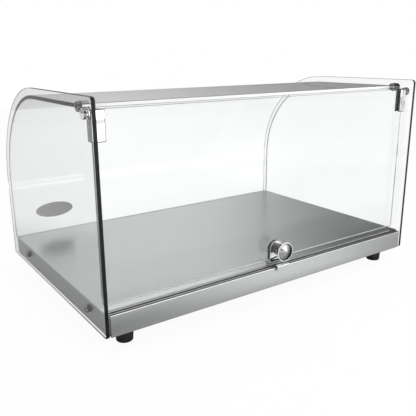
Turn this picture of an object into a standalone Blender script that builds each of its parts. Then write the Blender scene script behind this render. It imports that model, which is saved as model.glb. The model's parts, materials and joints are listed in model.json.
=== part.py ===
"""Countertop bakery display case with two side glasses, a bent glass and a lift-up glass door.

Units are metres and +Z is up. The operator's side, where the door is, faces -Y, and the customer
looks in from +Y. The origin lies on the table, under the middle of the case's overall box.
"""
import math

import bmesh
import bpy
from mathutils import Matrix, Vector

# Clearances
SEAT_GAP = 0.0003           # between two pieces that touch
CUT_OVERRUN = 0.002         # how far a cutter reaches past what it cuts

# Glass house
CASE_WIDTH = 0.560          # over the outer faces of the side glasses
GLASS_DEPTH = 0.370         # side glass, front edge to far edge
GLASS_HEIGHT = 0.285        # side glass, bottom edge to top edge
GLASS_THICKNESS = 0.005
FAR_ARC_RADIUS = 0.165      # large far top corner of a side glass
NEAR_CORNER_RADIUS = 0.006
BOTTOM_CORNER_RADIUS = 0.003
CURVED_INSET = 0.010        # bent sheet inside the side glass's outline
TOP_SETBACK = 0.0385        # front edge of the side glass to the near edge of the flat top
GLASS_ARRIS = 0.0005        # ground chamfer along every glass edge

# Base
SHEET = 0.001               # stainless sheet of pan, fascia and tab
BEND_RADIUS = 0.0012
PAN_HEIGHT = 0.0282
PAN_FRONT_SETBACK = 0.0036  # front edge of the side glass to the pan's front wall
PAN_SIDE_FLANGE = 0.045
PAN_END_FLANGE = 0.016
DECK_THICKNESS = 0.0012
DECK_FRONT_MARGIN = 0.0028  # pan's top that shows in front of the deck plate
DECK_CORNER_RADIUS = 0.002
SEAL_THICKNESS = 0.001

# Front fascia and its tab
FASCIA_HEIGHT = 0.029
FASCIA_END_GAP = 0.0024     # between the fascia's end and the side glass
FASCIA_RETURN = 0.0145      # depth of the flange under the pan
HEM_HEIGHT = 0.005          # folded back strip at the fascia's top edge
TAB_WIDTH = 0.023
TAB_RISE = 0.003            # tab's top above the fascia's top edge
TAB_PROUD = 0.0032          # tab's face in front of the fascia's face
TAB_LIP = 0.0085            # height of the tab's front leg
TAB_TAIL = 0.018            # height of its rear leg, behind the fascia

# Fixings of the side glasses
SIDE_SCREW_HEIGHT = 0.0203  # above the glass's bottom edge
SIDE_SCREW_FRONT = 0.053    # from the glass's front edge
SIDE_SCREW_REAR = 0.0785    # from the glass's far edge
SIDE_SCREW_RADIUS = 0.002
SIDE_HEAD_RADIUS = 0.0048
SIDE_HEAD_HEIGHT = 0.0026
GLASS_HOLE_RADIUS = 0.003   # holes in the side glass for its screws and bolts
WASHER_RADIUS = 0.0054
WASHER_THICKNESS = 0.0006
SPACER_RADIUS = 0.005
SPACER_THICKNESS = 0.001
NUT_RADIUS = 0.004
NUT_THICKNESS = 0.0024
SCREW_TAIL = 0.0012         # thread that stands out of a nut

# Feet
FOOT_RADIUS = 0.0125
FOOT_TAPER = 0.0014         # a foot's bottom is this much smaller in radius
FOOT_HEIGHT = 0.0246
FOOT_EDGE_RADIUS = 0.0018
FOOT_INSET_X = 0.0304       # pan's side wall to the foot's centre
FOOT_INSET_Y = 0.0244       # pan's front or rear wall to the foot's centre
FOOT_RECESS_RADIUS = 0.0052
FOOT_RECESS_DEPTH = 0.011
FOOT_SCREW_RADIUS = 0.002
FOOT_HEAD_RADIUS = 0.004
FOOT_HEAD_HEIGHT = 0.0026
FOOT_SCREW_TIP = 0.005      # thread that stands above the pan's flange

# Fascia screws
FASCIA_SCREW_RADIUS = 0.0015
FASCIA_HEAD_RADIUS = 0.003
FASCIA_HEAD_HEIGHT = 0.0016
FASCIA_SCREW_LENGTH = 0.006
FASCIA_SCREW_INSET = 0.0534   # pan's side wall to the outer screws

# Clips that carry the flat top
CLIP_RADIUS = 0.0065
CLIP_LENGTH = 0.009
CLIP_GRIP = 0.0035          # how far the top glass reaches into a clip
CLIP_BORE_DEPTH = 0.0055
BOLT_HEAD_RADIUS = 0.006
BOLT_HEAD_HEIGHT = 0.0026
BOLT_NECK_RADIUS = 0.0026
BOLT_THREAD_RADIUS = 0.0015
GASKET_THICKNESS = 0.0005

# Pivot of the door
PIVOT_SETBACK = 0.018       # front edge of the side glass to the pivot axis
PIVOT_DROP = 0.019          # top edge of the side glass down to the pivot axis
PIN_RADIUS = 0.0025
PIN_NOSE_GAP = 0.0008       # in front of the pin's end, in the cap's bore
CAP_RADIUS = 0.0064
CAP_HEIGHT = 0.0032
CAP_SKIN = 0.0016           # metal left in the cap beyond its bore
SLEEVE_WALL = 0.0013
RING_WALL = 0.0018
RING_THICKNESS = 0.001

# Hinge clamps
CLAMP_WEB = 0.0016          # wall between the door's edge and the side glass
CLAMP_WALL = 0.0023         # walls in front of the door glass and behind it
CLAMP_WIDTH = 0.014
CLAMP_HEIGHT = 0.0365
CLAMP_EDGE_RADIUS = 0.0011
CLAMP_TOP_RISE = 0.0045     # clamp's top above the pivot axis
PAD_THICKNESS = 0.0006
PAD_MARGIN = 0.0012         # pad's edges inside the clamp's edges
GRUB_RADIUS = 0.0019
GRUB_LENGTH = 0.0024
GRUB_SOCKET_RADIUS = 0.001
GRUB_SOCKET_DEPTH = 0.0012
GRUB_SPACING = 0.016
GRUB_LOWEST = 0.009         # clamp's bottom to its lower grub screw

# Door glass
DOOR_CLEARANCE = 0.0048     # deck plate's top to the door's bottom edge
DOOR_CORNER_RADIUS = 0.002
KNOB_RISE = 0.0165          # door's bottom edge to the knob's axis

# Knob and its clip
KNOB_CLIP_WIDTH = 0.0236
KNOB_CLIP_SHEET = 0.0015
LINER_THICKNESS = 0.0005
LINER_MARGIN = 0.0008       # liner's edge inside the clip's edge
KNOB_SCREW_RADIUS = 0.002
KNOB_HEAD_RADIUS = 0.004
KNOB_HEAD_HEIGHT = 0.0024
KNOB_BORE_DEPTH = 0.008
KNOB_LENGTH = 0.0222
KNOB_RADIUS = 0.0142
STEM_RADIUS = 0.008
STEM_LENGTH = 0.0078
NECK_RADIUS = 0.0052
NECK_LENGTH = 0.0045
HEAD_BACK_LENGTH = 0.0056   # flare between the neck and the rim
RIM_WIDTH = 0.0014
RIM_HEIGHT = 0.0013
RIM_EDGE = 0.0005
FACE_GROOVE = 0.0004

# Facets
ARC_STEPS = 24
CORNER_STEPS = 4
HOLE_SEGMENTS = 16
ROUND_SEGMENTS = 28
KNOB_SEGMENTS = 40
BEVEL_STEPS = 3
SMOOTH_ANGLE = math.radians(35)
QUARTER = math.pi / 2

# Places that follow from the sizes above
PAN_BOTTOM_Z = FOOT_HEIGHT + SEAT_GAP
GLASS_BOTTOM_Z = PAN_BOTTOM_Z - SEAT_GAP - SHEET
PAN_TOP_Z = PAN_BOTTOM_Z + PAN_HEIGHT
DECK_BOTTOM_Z = PAN_TOP_Z + SEAT_GAP
CURVED_BOTTOM_Z = PAN_TOP_Z + SEAL_THICKNESS + 2 * SEAT_GAP
FASCIA_TOP_Z = GLASS_BOTTOM_Z + FASCIA_HEIGHT
GLASS_TOP_Z = GLASS_BOTTOM_Z + GLASS_HEIGHT
TOP_GLASS_Z = GLASS_TOP_Z - CURVED_INSET - GLASS_THICKNESS
TOP_GLASS_MID_Z = TOP_GLASS_Z + GLASS_THICKNESS / 2

CLIP_DEPTH = 2 * (GLASS_THICKNESS / 2 + LINER_THICKNESS + KNOB_CLIP_SHEET + 2 * SEAT_GAP)
KNOB_SETBACK = PIVOT_SETBACK - CLIP_DEPTH / 2 - SEAT_GAP
KNOB_PROUD = KNOB_LENGTH - KNOB_SETBACK
GLASS_FRONT_Y = KNOB_PROUD - (GLASS_DEPTH + KNOB_PROUD) / 2
GLASS_FAR_Y = GLASS_FRONT_Y + GLASS_DEPTH
CURVED_FAR_Y = GLASS_FAR_Y - CURVED_INSET
PAN_FRONT_Y = GLASS_FRONT_Y + PAN_FRONT_SETBACK
PAN_FAR_Y = CURVED_FAR_Y
PIVOT_Y = GLASS_FRONT_Y + PIVOT_SETBACK
PIVOT_Z = GLASS_TOP_Z - PIVOT_DROP
DOOR_TOP_Z = PIVOT_Z + CLAMP_TOP_RISE
DOOR_BOTTOM_Z = DECK_BOTTOM_Z + DECK_THICKNESS + DOOR_CLEARANCE
KNOB_Z = DOOR_BOTTOM_Z + KNOB_RISE

SIDE_OUT_X = CASE_WIDTH / 2
SIDE_IN_X = SIDE_OUT_X - GLASS_THICKNESS
PAN_SIDE_X = SIDE_IN_X - SPACER_THICKNESS - 2 * SEAT_GAP
CLAMP_SIDE_X = SIDE_IN_X - RING_THICKNESS - 2 * SEAT_GAP
CLAMP_INNER_X = CLAMP_SIDE_X - CLAMP_WIDTH
DOOR_EDGE_X = CLAMP_SIDE_X - CLAMP_WEB - PAD_THICKNESS - 2 * SEAT_GAP
CLAMP_DEPTH = 2 * (GLASS_THICKNESS / 2 + PAD_THICKNESS + CLAMP_WALL + 2 * SEAT_GAP)
CLAMP_SLOT = CLAMP_DEPTH - 2 * CLAMP_WALL
CLAMP_BOTTOM_Z = DOOR_TOP_Z - CLAMP_HEIGHT
SLEEVE_RADIUS = PIN_RADIUS + SEAT_GAP + SLEEVE_WALL
CLIP_Y = GLASS_FRONT_Y + TOP_SETBACK + CLIP_GRIP - CLIP_RADIUS
HEAD_FACE_X = SIDE_OUT_X + GASKET_THICKNESS + 2 * SEAT_GAP
SIDE_SCREW_Z = GLASS_BOTTOM_Z + SIDE_SCREW_HEIGHT
SIDE_SCREW_YS = (GLASS_FRONT_Y + SIDE_SCREW_FRONT, GLASS_FAR_Y - SIDE_SCREW_REAR)

# Finishes: colour, roughness, metallic, transmission
FINISHES = {
    "brushed_stainless": ((0.60, 0.61, 0.61), 0.34, 1.0, 0.0),
    "zinc_sheet": ((0.52, 0.53, 0.54), 0.42, 1.0, 0.0),
    "polished_chrome": ((0.78, 0.78, 0.79), 0.08, 1.0, 0.0),
    "clear_glass": ((0.93, 0.97, 0.96), 0.02, 0.0, 0.9),
    "black_rubber": ((0.02, 0.02, 0.021), 0.62, 0.0, 0.0),
    "steel_fastener": ((0.45, 0.45, 0.46), 0.30, 1.0, 0.0),
    "grey_nylon": ((0.34, 0.35, 0.36), 0.55, 0.0, 0.0),
    "clear_silicone": ((0.75, 0.78, 0.78), 0.35, 0.0, 0.4),
}

COLLECTIONS = {}


def clear_scene():
    for item in list(bpy.data.objects):
        bpy.data.objects.remove(item)
    for name in ("bakery_display_case", "cutters"):
        COLLECTIONS[name] = bpy.data.collections.new(name)
        bpy.context.scene.collection.children.link(COLLECTIONS[name])


def finish(name):
    """The material of a finish, made once and shared by its pieces."""
    found = bpy.data.materials.get(name)
    if found:
        return found
    colour, roughness, metallic, transmission = FINISHES[name]
    made = bpy.data.materials.new(name)
    made.use_nodes = True
    shader = made.node_tree.nodes["Principled BSDF"]
    shader.inputs["Base Color"].default_value = (*colour, 1)
    shader.inputs["Roughness"].default_value = roughness
    shader.inputs["Metallic"].default_value = metallic
    shader.inputs["Transmission Weight"].default_value = transmission
    return made


def new_object(name, mesh, collection="bakery_display_case"):
    made = bpy.data.objects.new(name, mesh)
    COLLECTIONS[collection].objects.link(made)
    return made


def name_part(part, name, finish_name, origin=None):
    """Give a finished shape its node name, its material and, on a moving piece, its origin."""
    part.name = name
    part.data.name = name
    part.data.materials.clear()
    part.data.materials.append(finish(finish_name))
    if origin is not None:
        part.data.transform(Matrix.Translation(-Vector(origin)))
        part.location = origin
    return part


def mesh_from(bm, name, collection="bakery_display_case"):
    bmesh.ops.recalc_face_normals(bm, faces=bm.faces)
    mesh = bpy.data.meshes.new(name)
    bm.to_mesh(mesh)
    bm.free()
    return new_object(name, mesh, collection)


def box(low, high, collection="bakery_display_case"):
    """A block between two corners."""
    low, high = Vector(low), Vector(high)
    bm = bmesh.new()
    bmesh.ops.create_cube(bm, size=1.0)
    bmesh.ops.scale(bm, vec=high - low, verts=bm.verts)
    bmesh.ops.translate(bm, vec=(low + high) / 2, verts=bm.verts)
    return mesh_from(bm, "block", collection)


def rod(start, end, radius, segments=HOLE_SEGMENTS, collection="bakery_display_case"):
    """A round bar between two points."""
    start, end = Vector(start), Vector(end)
    along = end - start
    bm = bmesh.new()
    bmesh.ops.create_cone(bm, cap_ends=True, segments=segments, radius1=radius, radius2=radius,
                          depth=along.length)
    turn = along.to_track_quat("Z", "Y").to_matrix().to_4x4()
    bmesh.ops.transform(bm, matrix=Matrix.Translation((start + end) / 2) @ turn, verts=bm.verts)
    return mesh_from(bm, "rod", collection)


def apply_modifiers(part):
    """Keep the evaluated shape as the mesh and drop the modifiers."""
    depsgraph = bpy.context.evaluated_depsgraph_get()
    evaluated = bpy.data.meshes.new_from_object(part.evaluated_get(depsgraph))
    part.modifiers.clear()
    part.data = evaluated
    return part


def cut(part, cutters, operation="DIFFERENCE"):
    """Boolean the cutters with the part, apply it, and put the cutters away."""
    for cutter in cutters:
        step = part.modifiers.new("cut", "BOOLEAN")
        step.operation = operation
        step.solver = "EXACT"
        step.object = cutter
        cutter.hide_render = True
        cutter.display_type = "WIRE"
    apply_modifiers(part)
    for cutter in cutters:
        for holder in list(cutter.users_collection):
            holder.objects.unlink(cutter)
        COLLECTIONS["cutters"].objects.link(cutter)
    return part


def bevel(part, width, angle=math.radians(40), steps=BEVEL_STEPS):
    """Round every sharp edge of a part."""
    step = part.modifiers.new("rounded edges", "BEVEL")
    step.width = width
    step.segments = steps
    step.limit_method = "ANGLE"
    step.angle_limit = angle
    return apply_modifiers(part)


def shade_round(part):
    part.data.shade_smooth()
    part.data.set_sharp_from_angle(angle=SMOOTH_ANGLE)
    return part


def arc(centre, radius, start, end, steps):
    """Points on an arc from one angle to another, both ends included."""
    return [
        (centre[0] + radius * math.cos(start + (end - start) * i / steps),
         centre[1] + radius * math.sin(start + (end - start) * i / steps))
        for i in range(steps + 1)
    ]


def circle(centre, radius, steps=HOLE_SEGMENTS):
    return arc(centre, radius, 0, 2 * math.pi * (1 - 1 / steps), steps - 1)


def sheet(outlines, thickness, plane, middle):
    """A flat piece: closed outlines, the first one outer and the rest holes, given a thickness.

    plane says where the outline lies: "YZ" has its thickness along X, "XZ" along Y and "XY" along Z.
    middle is the place of its mid plane on that third axis.
    """
    curve = bpy.data.curves.new("outline", "CURVE")
    curve.dimensions = "2D"
    curve.fill_mode = "BOTH"
    curve.extrude = thickness / 2
    for points in outlines:
        spline = curve.splines.new("POLY")
        spline.points.add(len(points) - 1)
        for point, (u, v) in zip(spline.points, points):
            point.co = (u, v, 0, 1)
        spline.use_cyclic_u = True
    holder = new_object("outline", curve)
    frames = {
        "YZ": Matrix(((0, 0, 1, middle), (1, 0, 0, 0), (0, 1, 0, 0), (0, 0, 0, 1))),
        "XZ": Matrix(((1, 0, 0, 0), (0, 0, -1, middle), (0, 1, 0, 0), (0, 0, 0, 1))),
        "XY": Matrix(((1, 0, 0, 0), (0, 1, 0, 0), (0, 0, 1, middle), (0, 0, 0, 1))),
    }
    holder.matrix_world = frames[plane]
    bpy.context.view_layer.update()
    depsgraph = bpy.context.evaluated_depsgraph_get()
    mesh = bpy.data.meshes.new_from_object(holder.evaluated_get(depsgraph))
    mesh.transform(holder.matrix_world)
    bpy.data.objects.remove(holder)
    bm = bmesh.new()
    bm.from_mesh(mesh)
    bmesh.ops.remove_doubles(bm, verts=bm.verts, dist=SEAT_GAP / 10)
    bmesh.ops.dissolve_limit(bm, angle_limit=math.radians(0.5), verts=bm.verts, edges=bm.edges)
    return mesh_from(bm, "sheet")


def turned(profile, base, direction, segments=ROUND_SEGMENTS, collection="bakery_display_case"):
    """A turned piece: (distance along the axis, radius) pairs, starting and ending on the axis."""
    bm = bmesh.new()
    points = [bm.verts.new((radius, 0, along)) for along, radius in profile]
    for first, second in zip(points, points[1:]):
        bm.edges.new((first, second))
    mesh = bpy.data.meshes.new("profile")
    bm.to_mesh(mesh)
    bm.free()
    part = new_object("turned", mesh, collection)
    spin = part.modifiers.new("turn", "SCREW")
    spin.angle = 2 * math.pi
    spin.steps = segments
    spin.render_steps = segments
    spin.use_merge_vertices = True
    spin.merge_threshold = SEAT_GAP / 10
    apply_modifiers(part)
    turn = Vector(direction).to_track_quat("Z", "Y").to_matrix().to_4x4()
    part.data.transform(Matrix.Translation(base) @ turn)
    bm = bmesh.new()
    bm.from_mesh(part.data)
    bmesh.ops.remove_doubles(bm, verts=bm.verts, dist=SEAT_GAP / 10)
    bmesh.ops.recalc_face_normals(bm, faces=bm.faces)
    bm.to_mesh(part.data)
    bm.free()
    return shade_round(part)


def ring(start, end, outer, inner, segments=HOLE_SEGMENTS):
    """A round washer between two points on its axis."""
    start, end = Vector(start), Vector(end)
    reach = (end - start).normalized() * CUT_OVERRUN
    body = rod(start, end, outer, segments)
    return cut(body, [rod(start - reach, end + reach, inner, segments)])


def pan_head(base, direction, head_radius, head_height, shank_radius, shank_length):
    """A screw whose head stands out of base along direction, with its shank going the other way."""
    crown = head_height / 3
    profile = [
        (-shank_length, 0),
        (-shank_length, shank_radius),
        (0, shank_radius),
        (0, head_radius),
        (head_height - 2 * crown, head_radius),
        (head_height - crown, head_radius - crown / 2),
        (head_height, head_radius - 2 * crown),
        (head_height, 0),
    ]
    return turned(profile, base, direction, HOLE_SEGMENTS)


def hex_nut(centre, direction, radius, bore, thickness):
    """A six sided nut centred on a point of its axis."""
    direction = Vector(direction)
    centre = Vector(centre)
    half = direction * (thickness / 2)
    reach = half + direction * CUT_OVERRUN
    body = rod(centre - half, centre + half, radius, 6)
    return cut(body, [rod(centre - reach, centre + reach, bore)])


def side_outline():
    """Outline of a side glass in (y, z), with its large far top corner."""
    low, high = GLASS_BOTTOM_Z, GLASS_TOP_Z
    near, far = GLASS_FRONT_Y, GLASS_FAR_Y
    small, top, large = BOTTOM_CORNER_RADIUS, NEAR_CORNER_RADIUS, FAR_ARC_RADIUS
    return (
        arc((near + small, low + small), small, 2 * QUARTER, 3 * QUARTER, CORNER_STEPS)
        + arc((far - small, low + small), small, 3 * QUARTER, 4 * QUARTER, CORNER_STEPS)
        + arc((far - large, high - large), large, 0, QUARTER, ARC_STEPS)
        + arc((near + top, high - top), top, QUARTER, 2 * QUARTER, CORNER_STEPS)
    )


def side_glass(side):
    """A drilled side glass with ground edges; side is -1 for left and 1 for right."""
    holes = [circle((y, SIDE_SCREW_Z), GLASS_HOLE_RADIUS) for y in SIDE_SCREW_YS]
    holes.append(circle((PIVOT_Y, PIVOT_Z), SLEEVE_RADIUS + SEAT_GAP))
    holes.append(circle((CLIP_Y, TOP_GLASS_MID_Z), GLASS_HOLE_RADIUS))
    middle = side * (SIDE_OUT_X - GLASS_THICKNESS / 2)
    part = sheet([side_outline()] + holes, GLASS_THICKNESS, "YZ", middle)
    bevel(part, GLASS_ARRIS, steps=1)
    name = "left_side_glass" if side < 0 else "right_side_glass"
    return name_part(part, name, "clear_glass")


def curved_glass():
    """The bent sheet: upright far wall, large bend, flat top that ends near the door."""
    centre = (GLASS_FAR_Y - FAR_ARC_RADIUS, GLASS_TOP_Z - FAR_ARC_RADIUS)
    outer = FAR_ARC_RADIUS - CURVED_INSET
    inner = outer - GLASS_THICKNESS
    near = GLASS_FRONT_Y + TOP_SETBACK
    outline = (
        [(centre[0] + inner, CURVED_BOTTOM_Z), (centre[0] + outer, CURVED_BOTTOM_Z)]
        + arc(centre, outer, 0, QUARTER, ARC_STEPS)
        + [(near, centre[1] + outer), (near, centre[1] + inner)]
        + arc(centre, inner, QUARTER, 0, ARC_STEPS)
    )
    part = sheet([outline], 2 * (SIDE_IN_X - SEAT_GAP), "YZ", 0)
    bevel(part, GLASS_ARRIS, steps=1)
    return name_part(shade_round(part), "curved_glass", "clear_glass")


def curved_glass_seal():
    low = (SEAT_GAP - PAN_SIDE_X, CURVED_FAR_Y - GLASS_THICKNESS + SEAT_GAP, PAN_TOP_Z + SEAT_GAP)
    high = (-low[0], CURVED_FAR_Y - SEAT_GAP, low[2] + SEAL_THICKNESS)
    return name_part(box(low, high), "curved_glass_seal", "clear_silicone")


def foot_places():
    """Centres of the four feet by the corner where each stands."""
    x = PAN_SIDE_X - FOOT_INSET_X
    front, rear = PAN_FRONT_Y + FOOT_INSET_Y, PAN_FAR_Y - FOOT_INSET_Y
    return {
        "front_left": (-x, front), "front_right": (x, front),
        "rear_left": (-x, rear), "rear_right": (x, rear),
    }


def base_pan():
    """Folded pan, open side down, with inward flanges that take the feet and the fascia."""
    low = Vector((-PAN_SIDE_X, PAN_FRONT_Y, PAN_BOTTOM_Z))
    high = Vector((PAN_SIDE_X, PAN_FAR_Y, PAN_TOP_Z))
    wall = Vector((SHEET, SHEET, SHEET))
    part = bevel(box(low, high), BEND_RADIUS)
    mouth_low = (low.x + PAN_SIDE_FLANGE, low.y + PAN_END_FLANGE, low.z - CUT_OVERRUN)
    mouth_high = (high.x - PAN_SIDE_FLANGE, high.y - PAN_END_FLANGE, low.z + 2 * SHEET)
    cutters = [box(low + wall, high - wall), box(mouth_low, mouth_high)]
    under = low.z - CUT_OVERRUN
    over = low.z + SHEET + CUT_OVERRUN
    for x, y in foot_places().values():
        cutters.append(rod((x, y, under), (x, y, over), FOOT_SCREW_RADIUS + SEAT_GAP))
    for x, y in fascia_screw_places():
        cutters.append(rod((x, y, under), (x, y, over), FASCIA_SCREW_RADIUS + SEAT_GAP))
    inside = PAN_SIDE_X - SHEET - CUT_OVERRUN
    outside = PAN_SIDE_X + CUT_OVERRUN
    for side in (-1, 1):
        for y in SIDE_SCREW_YS:
            ends = ((side * inside, y, SIDE_SCREW_Z), (side * outside, y, SIDE_SCREW_Z))
            cutters.append(rod(*ends, SIDE_SCREW_RADIUS + SEAT_GAP))
    return name_part(cut(part, cutters), "base_pan", "zinc_sheet")


def deck_plate():
    """Brushed plate that the goods stand on."""
    x = PAN_SIDE_X
    near = PAN_FRONT_Y + DECK_FRONT_MARGIN
    far = CURVED_FAR_Y - GLASS_THICKNESS - SEAT_GAP
    radius = DECK_CORNER_RADIUS
    outline = (
        arc((radius - x, near + radius), radius, 2 * QUARTER, 3 * QUARTER, CORNER_STEPS)
        + arc((x - radius, near + radius), radius, 3 * QUARTER, 4 * QUARTER, CORNER_STEPS)
        + arc((x - radius, far - radius), radius, 0, QUARTER, CORNER_STEPS)
        + arc((radius - x, far - radius), radius, QUARTER, 2 * QUARTER, CORNER_STEPS)
    )
    part = sheet([outline], DECK_THICKNESS, "XY", DECK_BOTTOM_Z + DECK_THICKNESS / 2)
    bevel(part, DECK_THICKNESS / 4, steps=1)
    return name_part(part, "deck_plate", "brushed_stainless")


def front_fascia():
    """Folded strip: front face, hemmed top edge and a return flange under the pan."""
    y, z = GLASS_FRONT_Y, GLASS_BOTTOM_Z
    hem_centre = (y + SHEET, FASCIA_TOP_Z - SHEET)
    outline = (
        arc((y + BEND_RADIUS, z + BEND_RADIUS), BEND_RADIUS, 2 * QUARTER, 3 * QUARTER, CORNER_STEPS)
        + [(y + FASCIA_RETURN, z), (y + FASCIA_RETURN, z + SHEET)]
        + [(y + SHEET, z + SHEET), (y + SHEET, FASCIA_TOP_Z - HEM_HEIGHT)]
        + [(y + 2 * SHEET, FASCIA_TOP_Z - HEM_HEIGHT)]
        + arc(hem_centre, SHEET, 0, 2 * QUARTER, 2 * CORNER_STEPS)
    )
    length = 2 * (SIDE_IN_X - FASCIA_END_GAP)
    part = shade_round(sheet([outline], length, "YZ", 0))
    reach = CUT_OVERRUN
    holes = [
        rod((x, y0, z - reach), (x, y0, z + SHEET + reach), FASCIA_SCREW_RADIUS + SEAT_GAP)
        for x, y0 in fascia_screw_places()
    ]
    return name_part(cut(part, holes), "front_fascia", "brushed_stainless")


def fascia_tab():
    """Strip folded over the fascia's hem: a front leg, a short top and a long rear leg."""
    face = GLASS_FRONT_Y - TAB_PROUD
    back = GLASS_FRONT_Y + 2 * SHEET + SEAT_GAP + SHEET
    top = FASCIA_TOP_Z + TAB_RISE
    outer, inner = 2 * SHEET, SHEET
    front_centre = (face + outer, top - outer)
    back_centre = (back - outer, top - outer)
    outline = (
        [(face + SHEET, top - TAB_LIP), (face, top - TAB_LIP)][::-1]
        + arc(front_centre, inner, 2 * QUARTER, QUARTER, CORNER_STEPS)
        + arc(back_centre, inner, QUARTER, 0, CORNER_STEPS)
        + [(back - SHEET, top - TAB_TAIL), (back, top - TAB_TAIL)]
        + arc(back_centre, outer, 0, QUARTER, CORNER_STEPS)
        + arc(front_centre, outer, QUARTER, 2 * QUARTER, CORNER_STEPS)
    )
    part = shade_round(sheet([outline], TAB_WIDTH, "YZ", 0))
    return name_part(part, "fascia_tab", "brushed_stainless")


def fascia_screw_places():
    y = PAN_FRONT_Y + (GLASS_FRONT_Y + FASCIA_RETURN - PAN_FRONT_Y) / 2
    return [(i * (PAN_SIDE_X - FASCIA_SCREW_INSET), y) for i in (-1, 0, 1)]


def fascia_screws():
    face = GLASS_BOTTOM_Z - SEAT_GAP
    for label, (x, y) in zip(("left", "middle", "right"), fascia_screw_places()):
        part = pan_head((x, y, face), (0, 0, -1), FASCIA_HEAD_RADIUS, FASCIA_HEAD_HEIGHT,
                        FASCIA_SCREW_RADIUS, FASCIA_SCREW_LENGTH)
        name_part(part, "fascia_screw_" + label, "steel_fastener")


def foot(name, x, y):
    """Rubber foot with a rounded lower edge, a hole for its screw and a recess for the head."""
    low = FOOT_RADIUS - FOOT_TAPER
    edge = [
        (FOOT_EDGE_RADIUS + v, low - FOOT_EDGE_RADIUS + u)
        for u, v in arc((0, 0), FOOT_EDGE_RADIUS, -QUARTER, 0, CORNER_STEPS)
    ]
    profile = [(0, 0)] + edge + [(FOOT_HEIGHT, FOOT_RADIUS), (FOOT_HEIGHT, 0)]
    part = turned(profile, (x, y, 0), (0, 0, 1))
    cutters = [
        rod((x, y, -CUT_OVERRUN), (x, y, FOOT_RECESS_DEPTH), FOOT_RECESS_RADIUS),
        rod((x, y, 0), (x, y, FOOT_HEIGHT + CUT_OVERRUN), FOOT_SCREW_RADIUS + SEAT_GAP),
    ]
    return name_part(shade_round(cut(part, cutters)), name, "black_rubber")


def foot_screws():
    """Screws that go up through the feet into the pan's side flanges."""
    seat = FOOT_RECESS_DEPTH - SEAT_GAP
    length = PAN_BOTTOM_Z + SHEET + FOOT_SCREW_TIP - seat
    for label, (x, y) in foot_places().items():
        part = pan_head((x, y, seat), (0, 0, -1), FOOT_HEAD_RADIUS, FOOT_HEAD_HEIGHT,
                        FOOT_SCREW_RADIUS, length)
        name_part(part, "foot_screw_" + label, "steel_fastener")


def side_hardware(side, label):
    """What holds one side glass to the pan: screws, washers, spacers and nuts."""
    out = Vector((side, 0, 0))
    head = SIDE_OUT_X + WASHER_THICKNESS + 2 * SEAT_GAP
    nut_face = PAN_SIDE_X - SHEET - SEAT_GAP
    length = head - nut_face + NUT_THICKNESS + SCREW_TAIL
    bore = SIDE_SCREW_RADIUS + SEAT_GAP
    washer = SIDE_OUT_X + SEAT_GAP
    spacer = PAN_SIDE_X + SEAT_GAP
    for y, end in zip(SIDE_SCREW_YS, ("front", "rear")):
        place = Vector((0, y, SIDE_SCREW_Z))
        tag = label + "_" + end
        screw = pan_head(place + out * head, out, SIDE_HEAD_RADIUS, SIDE_HEAD_HEIGHT,
                         SIDE_SCREW_RADIUS, length)
        name_part(screw, "side_screw_" + tag, "steel_fastener")
        disc = ring(place + out * washer, place + out * (washer + WASHER_THICKNESS),
                    WASHER_RADIUS, bore)
        name_part(disc, "side_washer_" + tag, "grey_nylon")
        disc = ring(place + out * spacer, place + out * (spacer + SPACER_THICKNESS),
                    SPACER_RADIUS, bore)
        name_part(disc, "side_spacer_" + tag, "grey_nylon")
        nut = hex_nut(place + out * (nut_face - NUT_THICKNESS / 2), out, NUT_RADIUS, bore,
                      NUT_THICKNESS)
        name_part(nut, "side_nut_" + tag, "steel_fastener")


def top_clip(side, label):
    """Slotted round clip: the near corner of the flat top lies in its slot."""
    face = SIDE_IN_X - SEAT_GAP
    start = Vector((side * face, CLIP_Y, TOP_GLASS_MID_Z))
    along = Vector((-side, 0, 0))
    edge = CLIP_RADIUS / 10
    profile = [(0, 0), (0, CLIP_RADIUS), (CLIP_LENGTH - edge, CLIP_RADIUS),
               (CLIP_LENGTH, CLIP_RADIUS - edge), (CLIP_LENGTH, 0)]
    part = turned(profile, start, along)
    slot_y = GLASS_FRONT_Y + TOP_SETBACK - SEAT_GAP
    half = GLASS_THICKNESS / 2 + SEAT_GAP
    reach = CLIP_LENGTH + CUT_OVERRUN
    xs = sorted((side * (face + CUT_OVERRUN), side * (face - reach)))
    slot = box((xs[0], slot_y, TOP_GLASS_MID_Z - half),
               (xs[1], CLIP_Y + CLIP_RADIUS + CUT_OVERRUN, TOP_GLASS_MID_Z + half))
    bore = rod(start - along * CUT_OVERRUN, start + along * CLIP_BORE_DEPTH,
               BOLT_THREAD_RADIUS + SEAT_GAP)
    name_part(shade_round(cut(part, [slot, bore])), "top_clip_" + label, "polished_chrome")


def clip_bolt(side, label):
    """Shouldered bolt with a round head outside, through the side glass into the clip."""
    crown = BOLT_HEAD_HEIGHT / 3
    face = SIDE_OUT_X + SEAT_GAP
    neck = face - SIDE_IN_X
    tip = neck + CLIP_BORE_DEPTH - SEAT_GAP
    profile = [
        (-tip, 0), (-tip, BOLT_THREAD_RADIUS), (-neck, BOLT_THREAD_RADIUS),
        (-neck, BOLT_NECK_RADIUS), (0, BOLT_NECK_RADIUS), (0, BOLT_HEAD_RADIUS),
        (BOLT_HEAD_HEIGHT - crown, BOLT_HEAD_RADIUS),
        (BOLT_HEAD_HEIGHT - crown / 4, BOLT_HEAD_RADIUS - crown / 2),
        (BOLT_HEAD_HEIGHT, BOLT_HEAD_RADIUS - 2 * crown), (BOLT_HEAD_HEIGHT, 0),
    ]
    base = (side * face, CLIP_Y, TOP_GLASS_MID_Z)
    name_part(turned(profile, base, (side, 0, 0)), "clip_bolt_" + label, "polished_chrome")


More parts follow.
